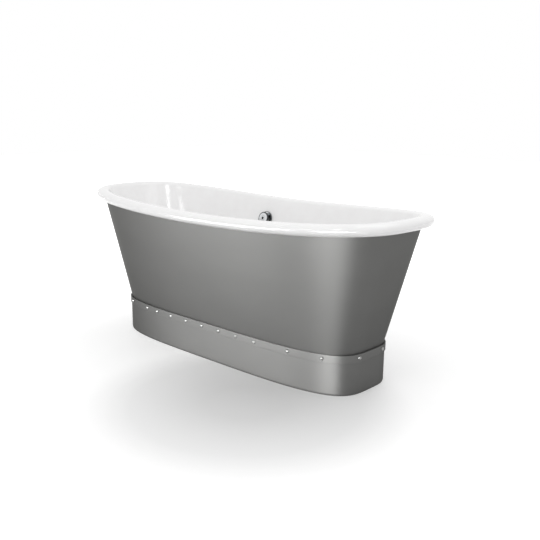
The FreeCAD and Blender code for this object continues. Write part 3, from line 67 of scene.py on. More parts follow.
# %% [markdown]
# A photograph is matched by its camera first. Yaw, pitch, roll, distance and focal length were
# found by fitting the rim, the skirt's outline and the rivets, so the camera is written as those
# numbers. A focal length in pixels becomes a lens in millimetres through the sensor's width. The
# camera's own axes are its three columns: right, up, and back from the target.

# %% Camera
PICTURE = 540
YAW, PITCH, ROLL = math.radians(42.7), math.radians(12.82), math.radians(0.63)
FOCAL_PIXELS = 721.58
DISTANCE = 3.04417
TARGET = np.array((0.14642, 0.0, 0.38387))


def new_object(name, data):
    """Make an object that shows some data, and put it into the scene."""
    thing = bpy.data.objects.new(name, data)
    bpy.context.scene.collection.objects.link(thing)
    return thing


back = np.array((math.sin(YAW) * math.cos(PITCH), -math.cos(YAW) * math.cos(PITCH), math.sin(PITCH)))
level = np.array((math.cos(YAW), math.sin(YAW), 0.0))
above = np.cross(back, level)
right = level * math.cos(ROLL) + above * math.sin(ROLL)
up = above * math.cos(ROLL) - level * math.sin(ROLL)
camera_data = bpy.data.cameras.new("camera")
camera = new_object("camera", camera_data)
bpy.context.scene.camera = camera
camera_data.sensor_width = 36.0
camera_data.lens = FOCAL_PIXELS / PICTURE * camera_data.sensor_width
turned = Matrix(np.column_stack((right, up, back)).tolist()).to_4x4()
camera.matrix_world = Matrix.Translation(TARGET + DISTANCE * back) @ turned
print("lens", round(camera_data.lens, 2), "mm, camera at", [round(v, 3) for v in camera.location])

# %% [markdown]
# A material is a small graph of nodes. One function adds a node with its settings and links, and
# another starts a material from its Principled shader. Colours are written as on a paint chart, in
# sRGB hex, and turned to the linear light that Blender mixes in.

# %% Colours, nodes and a material's start


def linear(hex_colour):
    """Turn an sRGB hex colour to linear: the low end is a straight line, the rest a 2.4 power."""
    shares = [int(hex_colour[n:n + 2], 16) / 255 for n in (1, 3, 5)]
    return [s / 12.92 if s <= 0.04045 else ((s + 0.055) / 1.055) ** 2.4 for s in shares] + [1.0]


def add(tree, kind, settings=None, sources=None):
    """Add a node, set its properties and sockets, and link sources into its sockets.

    A socket goes by its name, or by its number where several have one name.
    """
    node = tree.nodes.new(kind)
    for key, value in (settings or {}).items():
        if isinstance(key, str) and hasattr(node, key):
            setattr(node, key, value)
        else:
            node.inputs[key].default_value = value
    for key, source in (sources or {}).items():
        tree.links.new(source, node.inputs[key])
    return node


def start_material(name, colour, metallic, roughness, ior=None):
    """Make a material from its Principled shader's plain values."""
    material = bpy.data.materials.new(name)
    material.use_nodes = True
    shader = material.node_tree.nodes["Principled BSDF"]
    shader.inputs["Base Color"].default_value = linear(colour)
    shader.inputs["Metallic"].default_value = metallic
    shader.inputs["Roughness"].default_value = roughness
    if ior is not None:
        shader.inputs["IOR"].default_value = ior
    material.diffuse_color = linear(colour)
    return material, material.node_tree, shader


print("mid grey in linear light:", round(linear("#808080")[0], 3))

# %% [markdown]
# Nothing real has one even colour. A soft noise of a real size, read in the object's own
# coordinates, moves the colour, the roughness or the surface a little. Its size is in millimetres,
# so it stays right on a piece of any size.

# %% Patterns and what they move


def pattern(tree, size_mm, detail=2.0, stretch=(1.0, 1.0, 1.0)):
    """Give soft noise whose patches are size_mm wide, stretched by shares along the axes."""
    place = add(tree, "ShaderNodeTexCoord")
    scale = [s / (size_mm * MM) for s in stretch]
    mapped = add(tree, "ShaderNodeMapping", {"Scale": scale}, {"Vector": place.outputs["Object"]})
    settings = {"Scale": 1.0, "Detail": detail}
    noise = add(tree, "ShaderNodeTexNoise", settings, {"Vector": mapped.outputs["Vector"]})
    return noise.outputs["Fac"]


def vary_colour(tree, shader, source, low, high):
    """Let a pattern move the base colour between two paint-chart colours.

    A Mix node of colours takes its share in socket 0 and the colours in 6 and 7, and gives output 2.
    """
    settings = {"data_type": "RGBA", 6: linear(low), 7: linear(high)}
    mix = add(tree, "ShaderNodeMix", settings, {0: source})
    tree.links.new(mix.outputs[2], shader.inputs["Base Color"])


def vary_roughness(tree, shader, source, low, high):
    """Let a pattern move the roughness between two values."""
    spread = add(tree, "ShaderNodeMapRange", {"To Min": low, "To Max": high}, {"Value": source})
    tree.links.new(spread.outputs["Result"], shader.inputs["Roughness"])


def raise_bumps(tree, shader, source, height_mm, strength=1.0):
    """Let a pattern tilt the surface as bumps of a real height would."""
    settings = {"Strength": strength, "Distance": height_mm * MM}
    bump = add(tree, "ShaderNodeBump", settings, {"Height": source})
    tree.links.new(bump.outputs["Normal"], shader.inputs["Normal"])


print("patterns move colour, roughness and surface")

# %% [markdown]
# Vitreous enamel is glass powder melted onto cast iron. It is white to the core, very glossy, and
# has a faint orange peel where the melt flowed, and sags in fine upright lines on the walls. A white
# base with an IOR of glass gives the gloss. A low bump of broad patches and upright lines makes
# reflections run and break into streaks, as they do inside a real bath. The back is the bare
# casting under grey primer. Its sand grit is near half a millimetre, drawn five times as coarse so
# that it shows.

# %% Enamel and the casting's bare back
SAG_SHARE = 1.3
enamel, tree, shader = start_material("vitreous_enamel_white", "#efefef", 0.0, 0.09, ior=1.52)
flow = pattern(tree, 38.0, detail=1.0)
sag = pattern(tree, 15.0, detail=1.0, stretch=(1.0, 1.0, 0.15))
melt = add(tree, "ShaderNodeMath", {"operation": "MULTIPLY_ADD", 1: SAG_SHARE}, {0: sag, 2: flow})
vary_colour(tree, shader, flow, "#edecec", "#f2f2f2")
vary_roughness(tree, shader, pattern(tree, 90.0), 0.07, 0.13)
raise_bumps(tree, shader, melt.outputs["Value"], 0.6, 0.8)

primed, tree, shader = start_material("primed_cast_iron", "#57585a", 0.0, 0.7, ior=1.5)
sand = pattern(tree, 2.5, detail=6.0)
vary_colour(tree, shader, sand, "#4a4b4d", "#626365")
raise_bumps(tree, shader, sand, 0.25, 0.8)
print("enamel and primer ready")

# %% [markdown]
# The skirt, plinth and strap are sheet metal burnished to a satin. The work goes level round the
# bath, so its fine streaks lie level, and they throw light up and down. That is anisotropy: the
# shader stretches a highlight upright, into the soft vertical bands that the picture shows. The
# tint makes the metal a little darker where it is seen at a slant. Noise drawn out along X and Y
# gives the streaks in colour, roughness and bump. Real ones are near 0.3 mm high, too fine for the
# picture, so they are drawn 3 mm high.

# %% Burnished sheet and strap
STREAK_SHARE = 0.35


def burnished(name, low, high, smooth, rough):
    """Satin metal worked round the bath: its gloss is stretched upright, its streaks lie level."""
    material, tree, shader = start_material(name, low, 1.0, rough)
    shader.inputs["Anisotropic"].default_value = 0.5
    shader.inputs["Anisotropic Rotation"].default_value = 0.25
    shader.inputs["Specular Tint"].default_value = linear("#bcbcbb")
    broad = pattern(tree, 140.0, stretch=(0.5, 0.5, 1.0))
    fine = pattern(tree, 3.0, detail=4.0, stretch=(0.03, 0.03, 1.0))
    settings = {"operation": "MULTIPLY_ADD", 1: STREAK_SHARE}
    both = add(tree, "ShaderNodeMath", settings, {0: fine, 2: broad})
    vary_colour(tree, shader, both.outputs["Value"], low, high)
    vary_roughness(tree, shader, fine, smooth, rough)
    raise_bumps(tree, shader, fine, 0.02, 0.25)
    return material


# The three are one metal. Their base tones differ a little, each set to the light that piece catches, so
# that difference is painted light and shade.
burnished_skirt = burnished("burnished_sheet_skirt", "#5f5f5e", "#656564", 0.46, 0.52)
burnished_plinth = burnished("burnished_sheet_plinth", "#636362", "#696968", 0.46, 0.52)
burnished_strap = burnished("burnished_flat_strap", "#656564", "#6c6c6b", 0.44, 0.50)
print("burnished metals ready")

# %% [markdown]
# The fittings are chrome plate over brass. Chrome is a smooth mirror with a slightly blue grey
# tint. The rivets are polished steel, a little duller, so that each shows one soft bright spot in a
# darker ring. The knob's screw is given a near black, a painted reflection of the room's dark side
# in the knob's centre. Most of it is hidden, so one small graph serves them all. Real grains are a
# few tenths of a millimetre, too fine to show, so they are drawn 1.5 mm wide and more. Chrome has no
# grain: its 25 mm are the faint waves that buffing leaves.

# %% Fittings' finishes


def plain_finish(name, low, high, metallic, smooth, rough, grain_mm, height_mm, ior=None):
    """A finish with one grain: noise grain_mm wide moves its colour, roughness and surface."""
    material, tree, shader = start_material(name, low, metallic, rough, ior)
    grain = pattern(tree, grain_mm, detail=3.0)
    vary_colour(tree, shader, grain, low, high)
    vary_roughness(tree, shader, grain, smooth, rough)
    raise_bumps(tree, shader, grain, height_mm, 0.4)
    return material


rivet_steel = plain_finish("polished_steel_rivet", "#8c8c8b", "#969695", 1.0, 0.26, 0.31, 6.0, 0.01)
chrome_plate = plain_finish("chrome_plate_on_brass", "#c0c2c5", "#caccce", 1.0, 0.04, 0.08, 25.0, 0.01)
turned_brass = plain_finish("turned_brass", "#c2a066", "#cfae74", 1.0, 0.22, 0.34, 3.0, 0.03)
# The knob's screw is painted near black: a painted reflection of the dark room in the knob's centre.
screw_painted_dark = plain_finish("knob_screw_painted_dark", "#2b2c2d", "#353637", 1.0, 0.35, 0.45, 3.0, 0.02)
zinc_steel = plain_finish("zinc_plated_steel", "#a9acae", "#bcbfc1", 1.0, 0.30, 0.45, 4.0, 0.03)
black_iron = plain_finish("black_painted_cast_iron", "#1d1e1f", "#2a2b2c", 0.0, 0.45, 0.62, 2.5, 0.2, 1.5)
black_nylon = plain_finish("moulded_black_nylon", "#161617", "#202122", 0.0, 0.40, 0.52, 1.5, 0.04, 1.53)
seal_rubber = plain_finish("moulded_rubber_seal", "#171717", "#232323", 0.0, 0.62, 0.78, 1.5, 0.05, 1.52)
white_plastic = plain_finish("moulded_white_plastic", "#dcdbd6", "#e6e5e1", 0.0, 0.28, 0.40, 2.0, 0.02, 1.49)
hose_plastic = plain_finish("flexible_grey_plastic", "#a3a3a0", "#b0b0ad", 0.0, 0.40, 0.55, 3.0, 0.05, 1.5)
cable_sheath = plain_finish("extruded_black_sheath", "#141415", "#1f1f20", 0.0, 0.38, 0.50, 2.0, 0.02, 1.5)
print("fittings' finishes ready")

# %% [markdown]
# Every large shape here is a closed ring seen from above, a rounded oblong, that changes as it
# climbs. So one grid does them all: rows are rings, columns are stations round the bath. The
# stations are spaced evenly along the rim, whose oblong is the centre line of its roll.

# %% Rings
STATIONS = 384
BATH_LENGTH, BATH_WIDTH = 1700 * MM, 690 * MM
ROLL_WIDTH, ROLL_RISE, ROLL_DROP = 60 * MM, 20.5 * MM, 23.5 * MM
RIM_LEVEL, RIM_END_RISE, RIM_RISE_POWER = 625 * MM, 32 * MM, 1.77
RIM_POWER = 3.16


def oblong(half_length, half_width, power, angles):
    """Rounded oblong: x = a |cos t|^(2/n) and y = b |sin t|^(2/n), each with its own sign."""
    c, s = np.cos(angles), np.sin(angles)
    x = half_length * np.sign(c) * np.abs(c) ** (2 / power)
    y = half_width * np.sign(s) * np.abs(s) ** (2 / power)
    return np.stack((x, y), axis=-1)


def even_angles(half_length, half_width, power, count):
    """Angles of evenly spaced points: walk a quarter in small steps, add up its length, read it back."""
    share = np.linspace(0, 1, 4001)
    walk = np.pi / 4 * (1 - np.cos(np.pi * share))
    points = oblong(half_length, half_width, power, walk)
    length = np.append(0, np.cumsum(np.linalg.norm(np.diff(points, axis=0), axis=1)))
    quarter = np.interp(np.linspace(0, length[-1], count // 4 + 1), length, walk)
    half = np.concatenate((quarter[:-1], [np.pi / 2], np.pi - quarter[1:-1][::-1]))
    return np.concatenate((half, half + np.pi))


def outward(plan):
    """Unit direction out of a ring in plan: square to the line between each point's neighbours."""
    run = np.roll(plan, -1, axis=0) - np.roll(plan, 1, axis=0)
    normal = np.stack((run[:, 1], -run[:, 0]), axis=-1)
    return normal / np.linalg.norm(normal, axis=1, keepdims=True)


def ring(plan, offset, heights):
    """A ring of points: the plan moved outwards by offset, at one height or at its own heights."""
    moved = plan + outward(plan) * offset
    return np.column_stack((moved, np.broadcast_to(heights, len(plan))))


def rim_height(share):
    """The rim's centre line climbs towards the ends: level + rise |x share| ^ power."""
    return RIM_LEVEL + RIM_END_RISE * np.abs(share) ** RIM_RISE_POWER


RIM_HALF_LENGTH, RIM_HALF_WIDTH = BATH_LENGTH / 2 - ROLL_WIDTH / 2, BATH_WIDTH / 2 - ROLL_WIDTH / 2
ANGLES = even_angles(RIM_HALF_LENGTH, RIM_HALF_WIDTH, RIM_POWER, STATIONS)
print(len(ANGLES), "stations round the bath")

# %% [markdown]
# A few rings are enough to draw a section, but a glossy surface needs many more between them. A
# cubic spline gives them with a bend that changes evenly. Where the real surface is flat or ruled,
# straight lines do.

# %% Rows between rings


def smooth_rows(rows, count):
    """Natural cubic spline across rows, spaced by their mean distance, read at count even steps.

    The bend at each ring is found first: at both ends it is nothing, and in between the slopes of
    neighbouring stretches have to agree. A point between two rings is then the straight mix of
    them, plus each ring's bend times (share^3 - share) times the gap squared over six.
    """
    rows = np.asarray(rows)
    gaps = np.linalg.norm(np.diff(rows, axis=0), axis=2).mean(axis=1)
    steps = np.append(0, np.cumsum(gaps))
    last = len(rows) - 1
    table = np.zeros((last + 1, last + 1))
    table[0, 0] = table[last, last] = 1
    inner = np.arange(1, last)
    table[inner, inner - 1], table[inner, inner + 1] = gaps[:-1], gaps[1:]
    table[inner, inner] = 2 * (gaps[:-1] + gaps[1:])
    slopes = np.diff(rows, axis=0) / gaps[:, None, None]
    wanted = np.zeros_like(rows)
    wanted[1:-1] = 6 * np.diff(slopes, axis=0)
    bend = np.linalg.solve(table, wanted.reshape(last + 1, -1)).reshape(rows.shape)
    at = np.linspace(0, steps[-1], count)
    low = np.clip(np.searchsorted(steps, at, side="right") - 1, 0, last - 1)
    gap = gaps[low][:, None, None]
    after = ((at - steps[low]) / gaps[low])[:, None, None]
    before = 1 - after
    curve = (before ** 3 - before) * bend[low] + (after ** 3 - after) * bend[low + 1]
    return before * rows[low] + after * rows[low + 1] + gap ** 2 / 6 * curve


def between(start, end, shares):
    """Rows on the straight lines from one ring to another, at the given shares of the way."""
    shares = np.asarray(shares, float)[:, None, None]
    return (1 - shares) * start + shares * end


print("spline and straight rows ready")

# %% [markdown]
# A grid of points becomes a mesh through its cells: each joins a point, its neighbour on the ring,
# and the two above them. The piece then rides on a body of the frame and takes its finish.

# %% From a grid to a piece


def grid_quads(count, around, loop=True, flip=False):
    """Corners of a grid's cells as quads: wrapped round each ring, and over the rows too if loop."""
    ids = np.arange(count * around).reshape(count, around)
    upper = np.roll(ids, -1, axis=0) if loop else ids[1:]
    lower = ids if loop else ids[:-1]
    quads = (lower, np.roll(lower, -1, axis=1), np.roll(upper, -1, axis=1), upper)
    return np.stack(quads[::-1] if flip else quads, axis=-1).reshape(-1, 4)


def shade(mesh, degrees):
    """Shade a mesh smooth where its faces meet below an angle, and sharp where they meet above it."""
    mesh.shade_smooth()
    mesh.set_sharp_from_angle(angle=math.radians(degrees))


def finished_piece(name, points, faces, material, body, smooth_degrees=40):
    """Put points and faces into a mesh, shade it smooth below an angle, and let it ride on its body."""
    mesh = bpy.data.meshes.new(name)
    mesh.from_pydata(points.tolist(), [], faces.tolist())
    mesh.materials.append(material)
    shade(mesh, smooth_degrees)
    piece = new_object(name, mesh)
    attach(piece, body)
    return piece


def grid_piece(name, rows, material, body, loop=True, flip=False, smooth_degrees=40):
    """Make a finished piece from a grid of points, one row to each ring."""
    rows = np.asarray(rows, float)
    quads = grid_quads(rows.shape[0], rows.shape[1], loop, flip)
    return finished_piece(name, rows.reshape(-1, 3), quads, material, body, smooth_degrees)


print("a grid of 3 by 4 has", len(grid_quads(3, 4, loop=False)), "cells")

# %% [markdown]
# The casting is one skin that runs from the waste's hole over the floor, up the wall, round the
# roll to its lip, and back down behind. Each of its two faces is drawn as eighteen rings and a
# spline across them, so the enamel's reflections have no facets to break on.

# %% Bowl: rings of the wall and the roll
CASTING_WALL = 8 * MM
FLOOR = 195 * MM
WALL_HEIGHT_SHARES = np.array((0, 0.004, 0.022, 0.06, 0.125, 0.25, 0.46, 0.67, 0.86))
WALL_LENGTH_SHARES = np.array((0.57, 0.60, 0.638, 0.672, 0.709, 0.764, 0.840, 0.908, 0.962))
WALL_WIDTH_SHARES = np.array((0.38, 0.47, 0.57, 0.625, 0.663, 0.708, 0.777, 0.847, 0.922))
FLOOR_POWER = 2.5
ROLL_TILT = math.radians(7)
FACE_COUNT, BACK_COUNT = 130, 50


def wall_rows(offset):
    """Rings of the bowl's wall, floor to rim: oblongs by shares, moved out square to the section.

    The power of the oblong goes from the floor's to the rim's with the root of the height's share.
    The move out is the offset times (rise, -run) of the section, over the length of that slant.
    """
    inner_length, inner_width = BATH_LENGTH / 2 - ROLL_WIDTH, BATH_WIDTH / 2 - ROLL_WIDTH
    depth = RIM_LEVEL - FLOOR
    widths = np.append(WALL_WIDTH_SHARES, 1) * inner_width
    heights = np.append(WALL_HEIGHT_SHARES, 1) * depth
    rows = []
    for number, share in enumerate(WALL_HEIGHT_SHARES):
        run, rise = 1.0, 0.0
        if number:
            run = widths[number + 1] - widths[number - 1]
            rise = heights[number + 1] - heights[number - 1]
        slant = math.hypot(run, rise)
        power = FLOOR_POWER + (RIM_POWER - FLOOR_POWER) * math.sqrt(share)
        half_length = inner_length * WALL_LENGTH_SHARES[number]
        plan = oblong(half_length, inner_width * WALL_WIDTH_SHARES[number], power, ANGLES)
        top = rim_height(plan[:, 0] / half_length)
        rows.append(ring(plan, offset * rise / slant, FLOOR + share * (top - FLOOR) - offset * run / slant))
    return rows


def roll_rows(inset, degrees):
    """Rings of the rolled rim: an ellipse, flatter above than below, tilted down outwards.

    Its point is (w cos t, h sin t), turned by the tilt: w is half the width, h the rise or the drop.
    """
    plan = oblong(RIM_HALF_LENGTH, RIM_HALF_WIDTH, RIM_POWER, ANGLES)
    rows = []
    for degree in degrees:
        angle = math.radians(degree)
        out = (ROLL_WIDTH / 2 - inset) * math.cos(angle)
        high = ((ROLL_RISE if degree >= 0 else ROLL_DROP) - inset) * math.sin(angle)
        across = out * math.cos(ROLL_TILT) + high * math.sin(ROLL_TILT)
        lift = high * math.cos(ROLL_TILT) - out * math.sin(ROLL_TILT)
        rows.append(ring(plan, across, rim_height(plan[:, 0] / RIM_HALF_LENGTH) + lift))
    return rows


face_rows = smooth_rows(wall_rows(0.0) + roll_rows(0.0, range(180, -90, -30)), FACE_COUNT)
back_rows = roll_rows(CASTING_WALL, range(-60, 210, 30)) + wall_rows(CASTING_WALL)[::-1]
back_rows = smooth_rows(back_rows, BACK_COUNT)
print("face", face_rows.shape, "back", back_rows.shape)

# %% [markdown]
# The floor is a patch of circles round the waste, each station looking out to the wall's lowest
# ring. Circles sink a recess for the waste's flange, and below they leave a boss for its nut. A
# circle is a radius in millimetres and a height. All rows together close the casting's skin.

# %% Bowl: floor, recess and boss
WASTE = np.array((-116 * MM, 0.0))
WASTE_RADIUS_MM = 27


def waste_circle(edge, radius, height):
    """A circle round the waste whose points look towards the points of an outer ring."""
    away = edge[:, :2] - WASTE
    away = away / np.linalg.norm(away, axis=1, keepdims=True)
    return np.column_stack((WASTE + radius * away, np.full(len(edge), height)))


edge = face_rows[0]
recess_floor = FLOOR - 3 * MM
turn = np.linspace(0, np.pi, 7)
recess = [(WASTE_RADIUS_MM, recess_floor - 3 * MM), (WASTE_RADIUS_MM, recess_floor - 0.5 * MM)]
recess += [(WASTE_RADIUS_MM + 0.5, recess_floor), (33, recess_floor)]
recess += [(40 + 1.5 * (1 - math.cos(t)), FLOOR - 1.5 * MM * (1 + math.cos(t))) for t in turn]
inner_rows = [waste_circle(edge, radius * MM, height) for radius, height in recess]
shares = (0.04, 0.12, 0.25, 0.4, 0.55, 0.7, 0.82, 0.93)
inner_rows += list(between(waste_circle(edge, 43 * MM, FLOOR), edge, shares))

under = back_rows[-1]
underside = FLOOR - CASTING_WALL
boss_foot = underside - 5 * MM
boss = [(50, underside), (48.4, underside - 0.4 * MM), (48, boss_foot + 0.6 * MM)]
boss += [(47.4, boss_foot), (WASTE_RADIUS_MM + 1, boss_foot), (WASTE_RADIUS_MM, boss_foot + 1 * MM)]
outer_rows = list(between(under, waste_circle(under, 52 * MM, underside), (0.2, 0.45, 0.7, 0.9)))
outer_rows += [waste_circle(under, radius * MM, height) for radius, height in boss]

lip = between(face_rows[-1], back_rows[0], (0.12, 0.5, 0.88))
bowl_rows = np.concatenate((inner_rows, face_rows, lip, back_rows, outer_rows))
bowl = grid_piece("bowl_enamel", bowl_rows, enamel, "bath", flip=True)
bowl.data.materials.append(primed)
first_back = len(inner_rows) + len(face_rows) + 1
print("bowl grid", bowl_rows.shape, "first row of its back", first_back)

# %% [markdown]
# The overflow's hole is bored square to the wall, which leans back. A boolean cut with a plain
# drill is the quickest way to open a hole in a curved grid: it is applied at once, so the finished
# mesh has no live modifier. The cut's rim is hidden under the overflow's flange. The rings of the
# back get the primer, and the matrix of the overflow's place serves again for its chrome.

# %% Bowl: the overflow's hole, and the bare back
OVERFLOW_LEAN = math.radians(16.002)
HOLE_RADIUS, DRILL_REACH = 27 * MM, 20 * MM
lean, rise = math.sin(OVERFLOW_LEAN), math.cos(OVERFLOW_LEAN)
OVERFLOW = Matrix((
    (1, 0, 0, -116 * MM),
    (0, lean, -rise, 256.52 * MM),
    (0, rise, lean, 545 * MM),
    (0, 0, 0, 1),
))


def turned_rows(profile, around=64):
    """Rings of a turned piece: each (radius, height) of its profile swept round Z."""
    profile = np.asarray(profile, float)
    angle = np.linspace(0, 2 * np.pi, around, endpoint=False)
    x, y = profile[:, :1] * np.cos(angle), profile[:, :1] * np.sin(angle)
    return np.stack((x, y, np.broadcast_to(profile[:, 1:], x.shape)), axis=-1)


def placed(points, matrix):
    """Points turned and moved by a 4 by 4 matrix."""
    table = np.array(matrix)
    return points @ table[:3, :3].T + table[:3, 3]


def apply_modifiers(piece):
    """Bake a piece's modifiers into its mesh."""
    shown = piece.evaluated_get(bpy.context.evaluated_depsgraph_get())
    mesh = bpy.data.meshes.new_from_object(shown)
    piece.modifiers.clear()
    old, piece.data = piece.data, mesh
    bpy.data.meshes.remove(old)


rows_of_faces = np.repeat(np.arange(len(bowl_rows)), STATIONS)
bare = (rows_of_faces >= first_back) & (rows_of_faces < len(bowl_rows) - 1)
bowl.data.polygons.foreach_set("material_index", bare.astype(np.int32))
drill_profile = [(radius, -DRILL_REACH) for radius in (0.0, HOLE_RADIUS)]
drill_profile += [(radius, DRILL_REACH) for radius in (HOLE_RADIUS, 0.0)]
drill_rows = turned_rows(drill_profile)
drill = grid_piece("drill", placed(drill_rows, OVERFLOW), primed, "bath", loop=False)
cut = bowl.modifiers.new("overflow_hole", "BOOLEAN")
cut.object, cut.operation, cut.solver = drill, "DIFFERENCE", "EXACT"
apply_modifiers(bowl)
bpy.data.objects.remove(drill)
shade(bowl.data, 40)
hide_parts("bath_casting")
print("bowl", len(bowl.data.polygons), "faces")

# %% [markdown]
# Under the floor the casting has four thick pads, where the feet are bolted on. They are small
# rounded blocks, made as one ring grid each: a rounded oblong of a high power is a block with
# eased corners. Their section runs as offsets from the block's side, in millimetres, and heights.

# %% Casting: bolting pads
FOOT_X, FOOT_Y = 340 * MM, 70 * MM
PAD_SHAPE = (52 * MM, 27 * MM, 12.0)
PAD_STATIONS = 64
PAD_TOP, PAD_FOOT = underside + 4 * MM, underside - 12 * MM
pad_plan = oblong(*PAD_SHAPE, even_angles(*PAD_SHAPE, PAD_STATIONS))
pad_profile = ((-20, PAD_FOOT), (-1, PAD_FOOT), (0, PAD_FOOT + 1 * MM), (0, PAD_TOP), (-20, PAD_TOP))
pad_rows = np.stack([ring(pad_plan, offset * MM, height) for offset, height in pad_profile])
for side, y in (("front", -FOOT_Y), ("rear", FOOT_Y)):
    for end, x in (("left", -FOOT_X), ("right", FOOT_X)):
        rows = pad_rows + np.array((x, y, 0))
        grid_piece("bolting_pad_" + side + "_" + end, rows, primed, "bath", loop=False)
print("four bolting pads")

# %% [markdown]
# The skirt is one sheet: an upright leg behind the plinth, a tight bend, then straight lines up to
# the wider ring under the rim. Straight lines between two rings are a ruled surface, as a rolled
# sheet is. The bend is a small curve between them, and both faces of the sheet are drawn.

# %% Skirt
PLINTH_LENGTH, PLINTH_WIDTH, PLINTH_HEIGHT, PLINTH_POWER = 1352 * MM, 428 * MM, 160 * MM, 3.8
STRAP_LOW = PLINTH_HEIGHT - 31 * MM
SHEET = 3 * MM
SEAT_GAP = 0.3 * MM
BEND, TAPER = 4 * MM, 500 * MM
SKIRT_HALF_LENGTH, SKIRT_HALF_WIDTH = BATH_LENGTH / 2 - 44 * MM, BATH_WIDTH / 2 - 23 * MM
SKIRT_POWER = 3.1
plinth_plan = oblong(PLINTH_LENGTH / 2, PLINTH_WIDTH / 2, PLINTH_POWER, ANGLES)
skirt_plan = oblong(SKIRT_HALF_LENGTH, SKIRT_HALF_WIDTH, SKIRT_POWER, ANGLES)
skirt_top = rim_height(skirt_plan[:, 0] / SKIRT_HALF_LENGTH) - 6 * MM


def skirt_face(inset):
    """One face of the sheet: the leg, the bend, then the straight taper, about half a metre long.

    The bend is (1 - t)^2 before + 2 t (1 - t) corner + t^2 after, from 4 mm below the corner to 4 mm
    up the taper.
    """
    leg = -(SHEET + SEAT_GAP) - inset
    foot = ring(plinth_plan, leg, STRAP_LOW)
    corner = ring(plinth_plan, leg, PLINTH_HEIGHT)
    head = ring(skirt_plan, -inset, skirt_top)
    before, after = corner - (0, 0, BEND), corner + (head - corner) * (BEND / TAPER)
    bend = []
    for t in np.linspace(0, 1, 6):
        bend.append((1 - t) ** 2 * before + 2 * t * (1 - t) * corner + t ** 2 * after)
    return [foot] + bend + list(between(after, head, np.linspace(0.04, 1, 16)))


skirt_rows = np.stack(skirt_face(0.0) + skirt_face(SHEET)[::-1])
skirt = grid_piece("skirt_sheet", skirt_rows, burnished_skirt, "bath", smooth_degrees=50)
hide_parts("skirt_panel")
print("skirt", skirt_rows.shape)

# %% [markdown]
# The plinth is an upright band on the floor, and the strap a low, thicker band round its top. Both
# are one section carried round the same ring, with eased corners. The plinth's foot turns in as a
# small hem, so that no raw edge shows, and that reads as the thin dark line on the floor.

# %% Plinth and strap
STRAP_SHEET = 3.5 * MM
SUPPORT, ROUND_MIDDLE = 1.5, 0.3


def band_rows(inner, outer, low, high, ease, hem_in=0.0, hem_high=0.0):
    """A band's section carried round the plinth's ring.

    Each corner is eased through a middle point 0.3 of the ease inside it, with one more point on each
    flat beside it, so that smooth shading does not bend the flats. A hem turns the outer foot in: it
    lies hem_in (1 - t)^2 inside the face at the height hem_high t.
    """
    corners = ((outer, low, -1, 1), (outer, high, -1, -1), (inner, high, 1, -1), (inner, low, 1, 1))
    section = []
    for x, z, turn_x, turn_z in corners:
        along = [(x + turn_x * ease * n, z) for n in (SUPPORT, 1.0)]
        middle = [(x + turn_x * ease * ROUND_MIDDLE, z + turn_z * ease * ROUND_MIDDLE)]
        upright = [(x, z + turn_z * ease * n) for n in (1.0, SUPPORT)]
        corner = along + middle + upright
        if hem_in and (x, z) == (outer, low):
            climb = np.linspace(0, 1.2, 7)
            corner = [(outer - hem_in * (1 - t) ** 2, low + hem_high * t) for t in climb]
        first_on_flat = (x == outer) == (z == low)
        section += corner if first_on_flat else corner[::-1]
    return np.stack([ring(plinth_plan, offset, height) for offset, height in section])


plinth_rows = band_rows(-SHEET, 0.0, 0.0, PLINTH_HEIGHT, 0.6 * MM, 2.2 * MM, 9 * MM)
plinth = grid_piece("plinth_sheet", plinth_rows, burnished_plinth, "bath", smooth_degrees=50)
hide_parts("plinth_band")
strap_rows = band_rows(SEAT_GAP, SEAT_GAP + STRAP_SHEET, STRAP_LOW, PLINTH_HEIGHT, 1.0 * MM)
strap = grid_piece("strap_flat", strap_rows, burnished_strap, "bath", smooth_degrees=50)
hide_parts("rivet_strap")
print("plinth", plinth_rows.shape, "strap", strap_rows.shape)

# %% [markdown]
# Twenty six domed rivets hold skirt, strap and plinth together. Their places are distances along
# the plinth's ring, from the middle of the front. Half of them are one rivet, then seven at even
# pitches on the long side, then five round the end. The other half repeats them half way round.

# %% Rivets: their places
SIDE_PITCH, PAIR_PITCH, SEAM_PITCH, SIDE_SHIFT = 102.5 * MM, 78 * MM, 169 * MM, 45 * MM
fine_angles = np.linspace(0, 2 * np.pi, 8001)
fine = oblong(PLINTH_LENGTH / 2, PLINTH_WIDTH / 2, PLINTH_POWER, fine_angles)
walked = np.append(0, np.cumsum(np.linalg.norm(np.diff(fine, axis=0), axis=1)))
whole = walked[-1]
front_middle = np.interp(1.5 * np.pi, fine_angles, walked)
first = -SIDE_SHIFT - 3 * SIDE_PITCH
steps = [first - PAIR_PITCH] + [first + SIDE_PITCH * n for n in range(7)]
seam = first + 6 * SIDE_PITCH + SEAM_PITCH
steps += [seam + (steps[0] + whole / 2 - seam) / 5 * n for n in range(5)]
distances = (front_middle + np.concatenate((steps, np.array(steps) + whole / 2))) % whole
at = np.stack([np.interp(distances, walked, fine[:, n]) for n in (0, 1)], axis=-1)
ahead = np.stack([np.interp(distances + 1 * MM, walked, fine[:, n]) for n in (0, 1)], axis=-1)
ahead -= at
ahead /= np.linalg.norm(ahead, axis=1, keepdims=True)
out = np.stack((ahead[:, 1], -ahead[:, 0]), axis=-1)
print(len(at), "places on a ring", round(whole, 3), "m long")

# %% [markdown]
# A rivet's head is a cap of a sphere whose radius follows from its own radius r and rise h:
# (r^2 + h^2) / 2h. One cap is turned round its axis, and then copied to all places at once: each
# point's three numbers count along the strap, upwards and out of it.

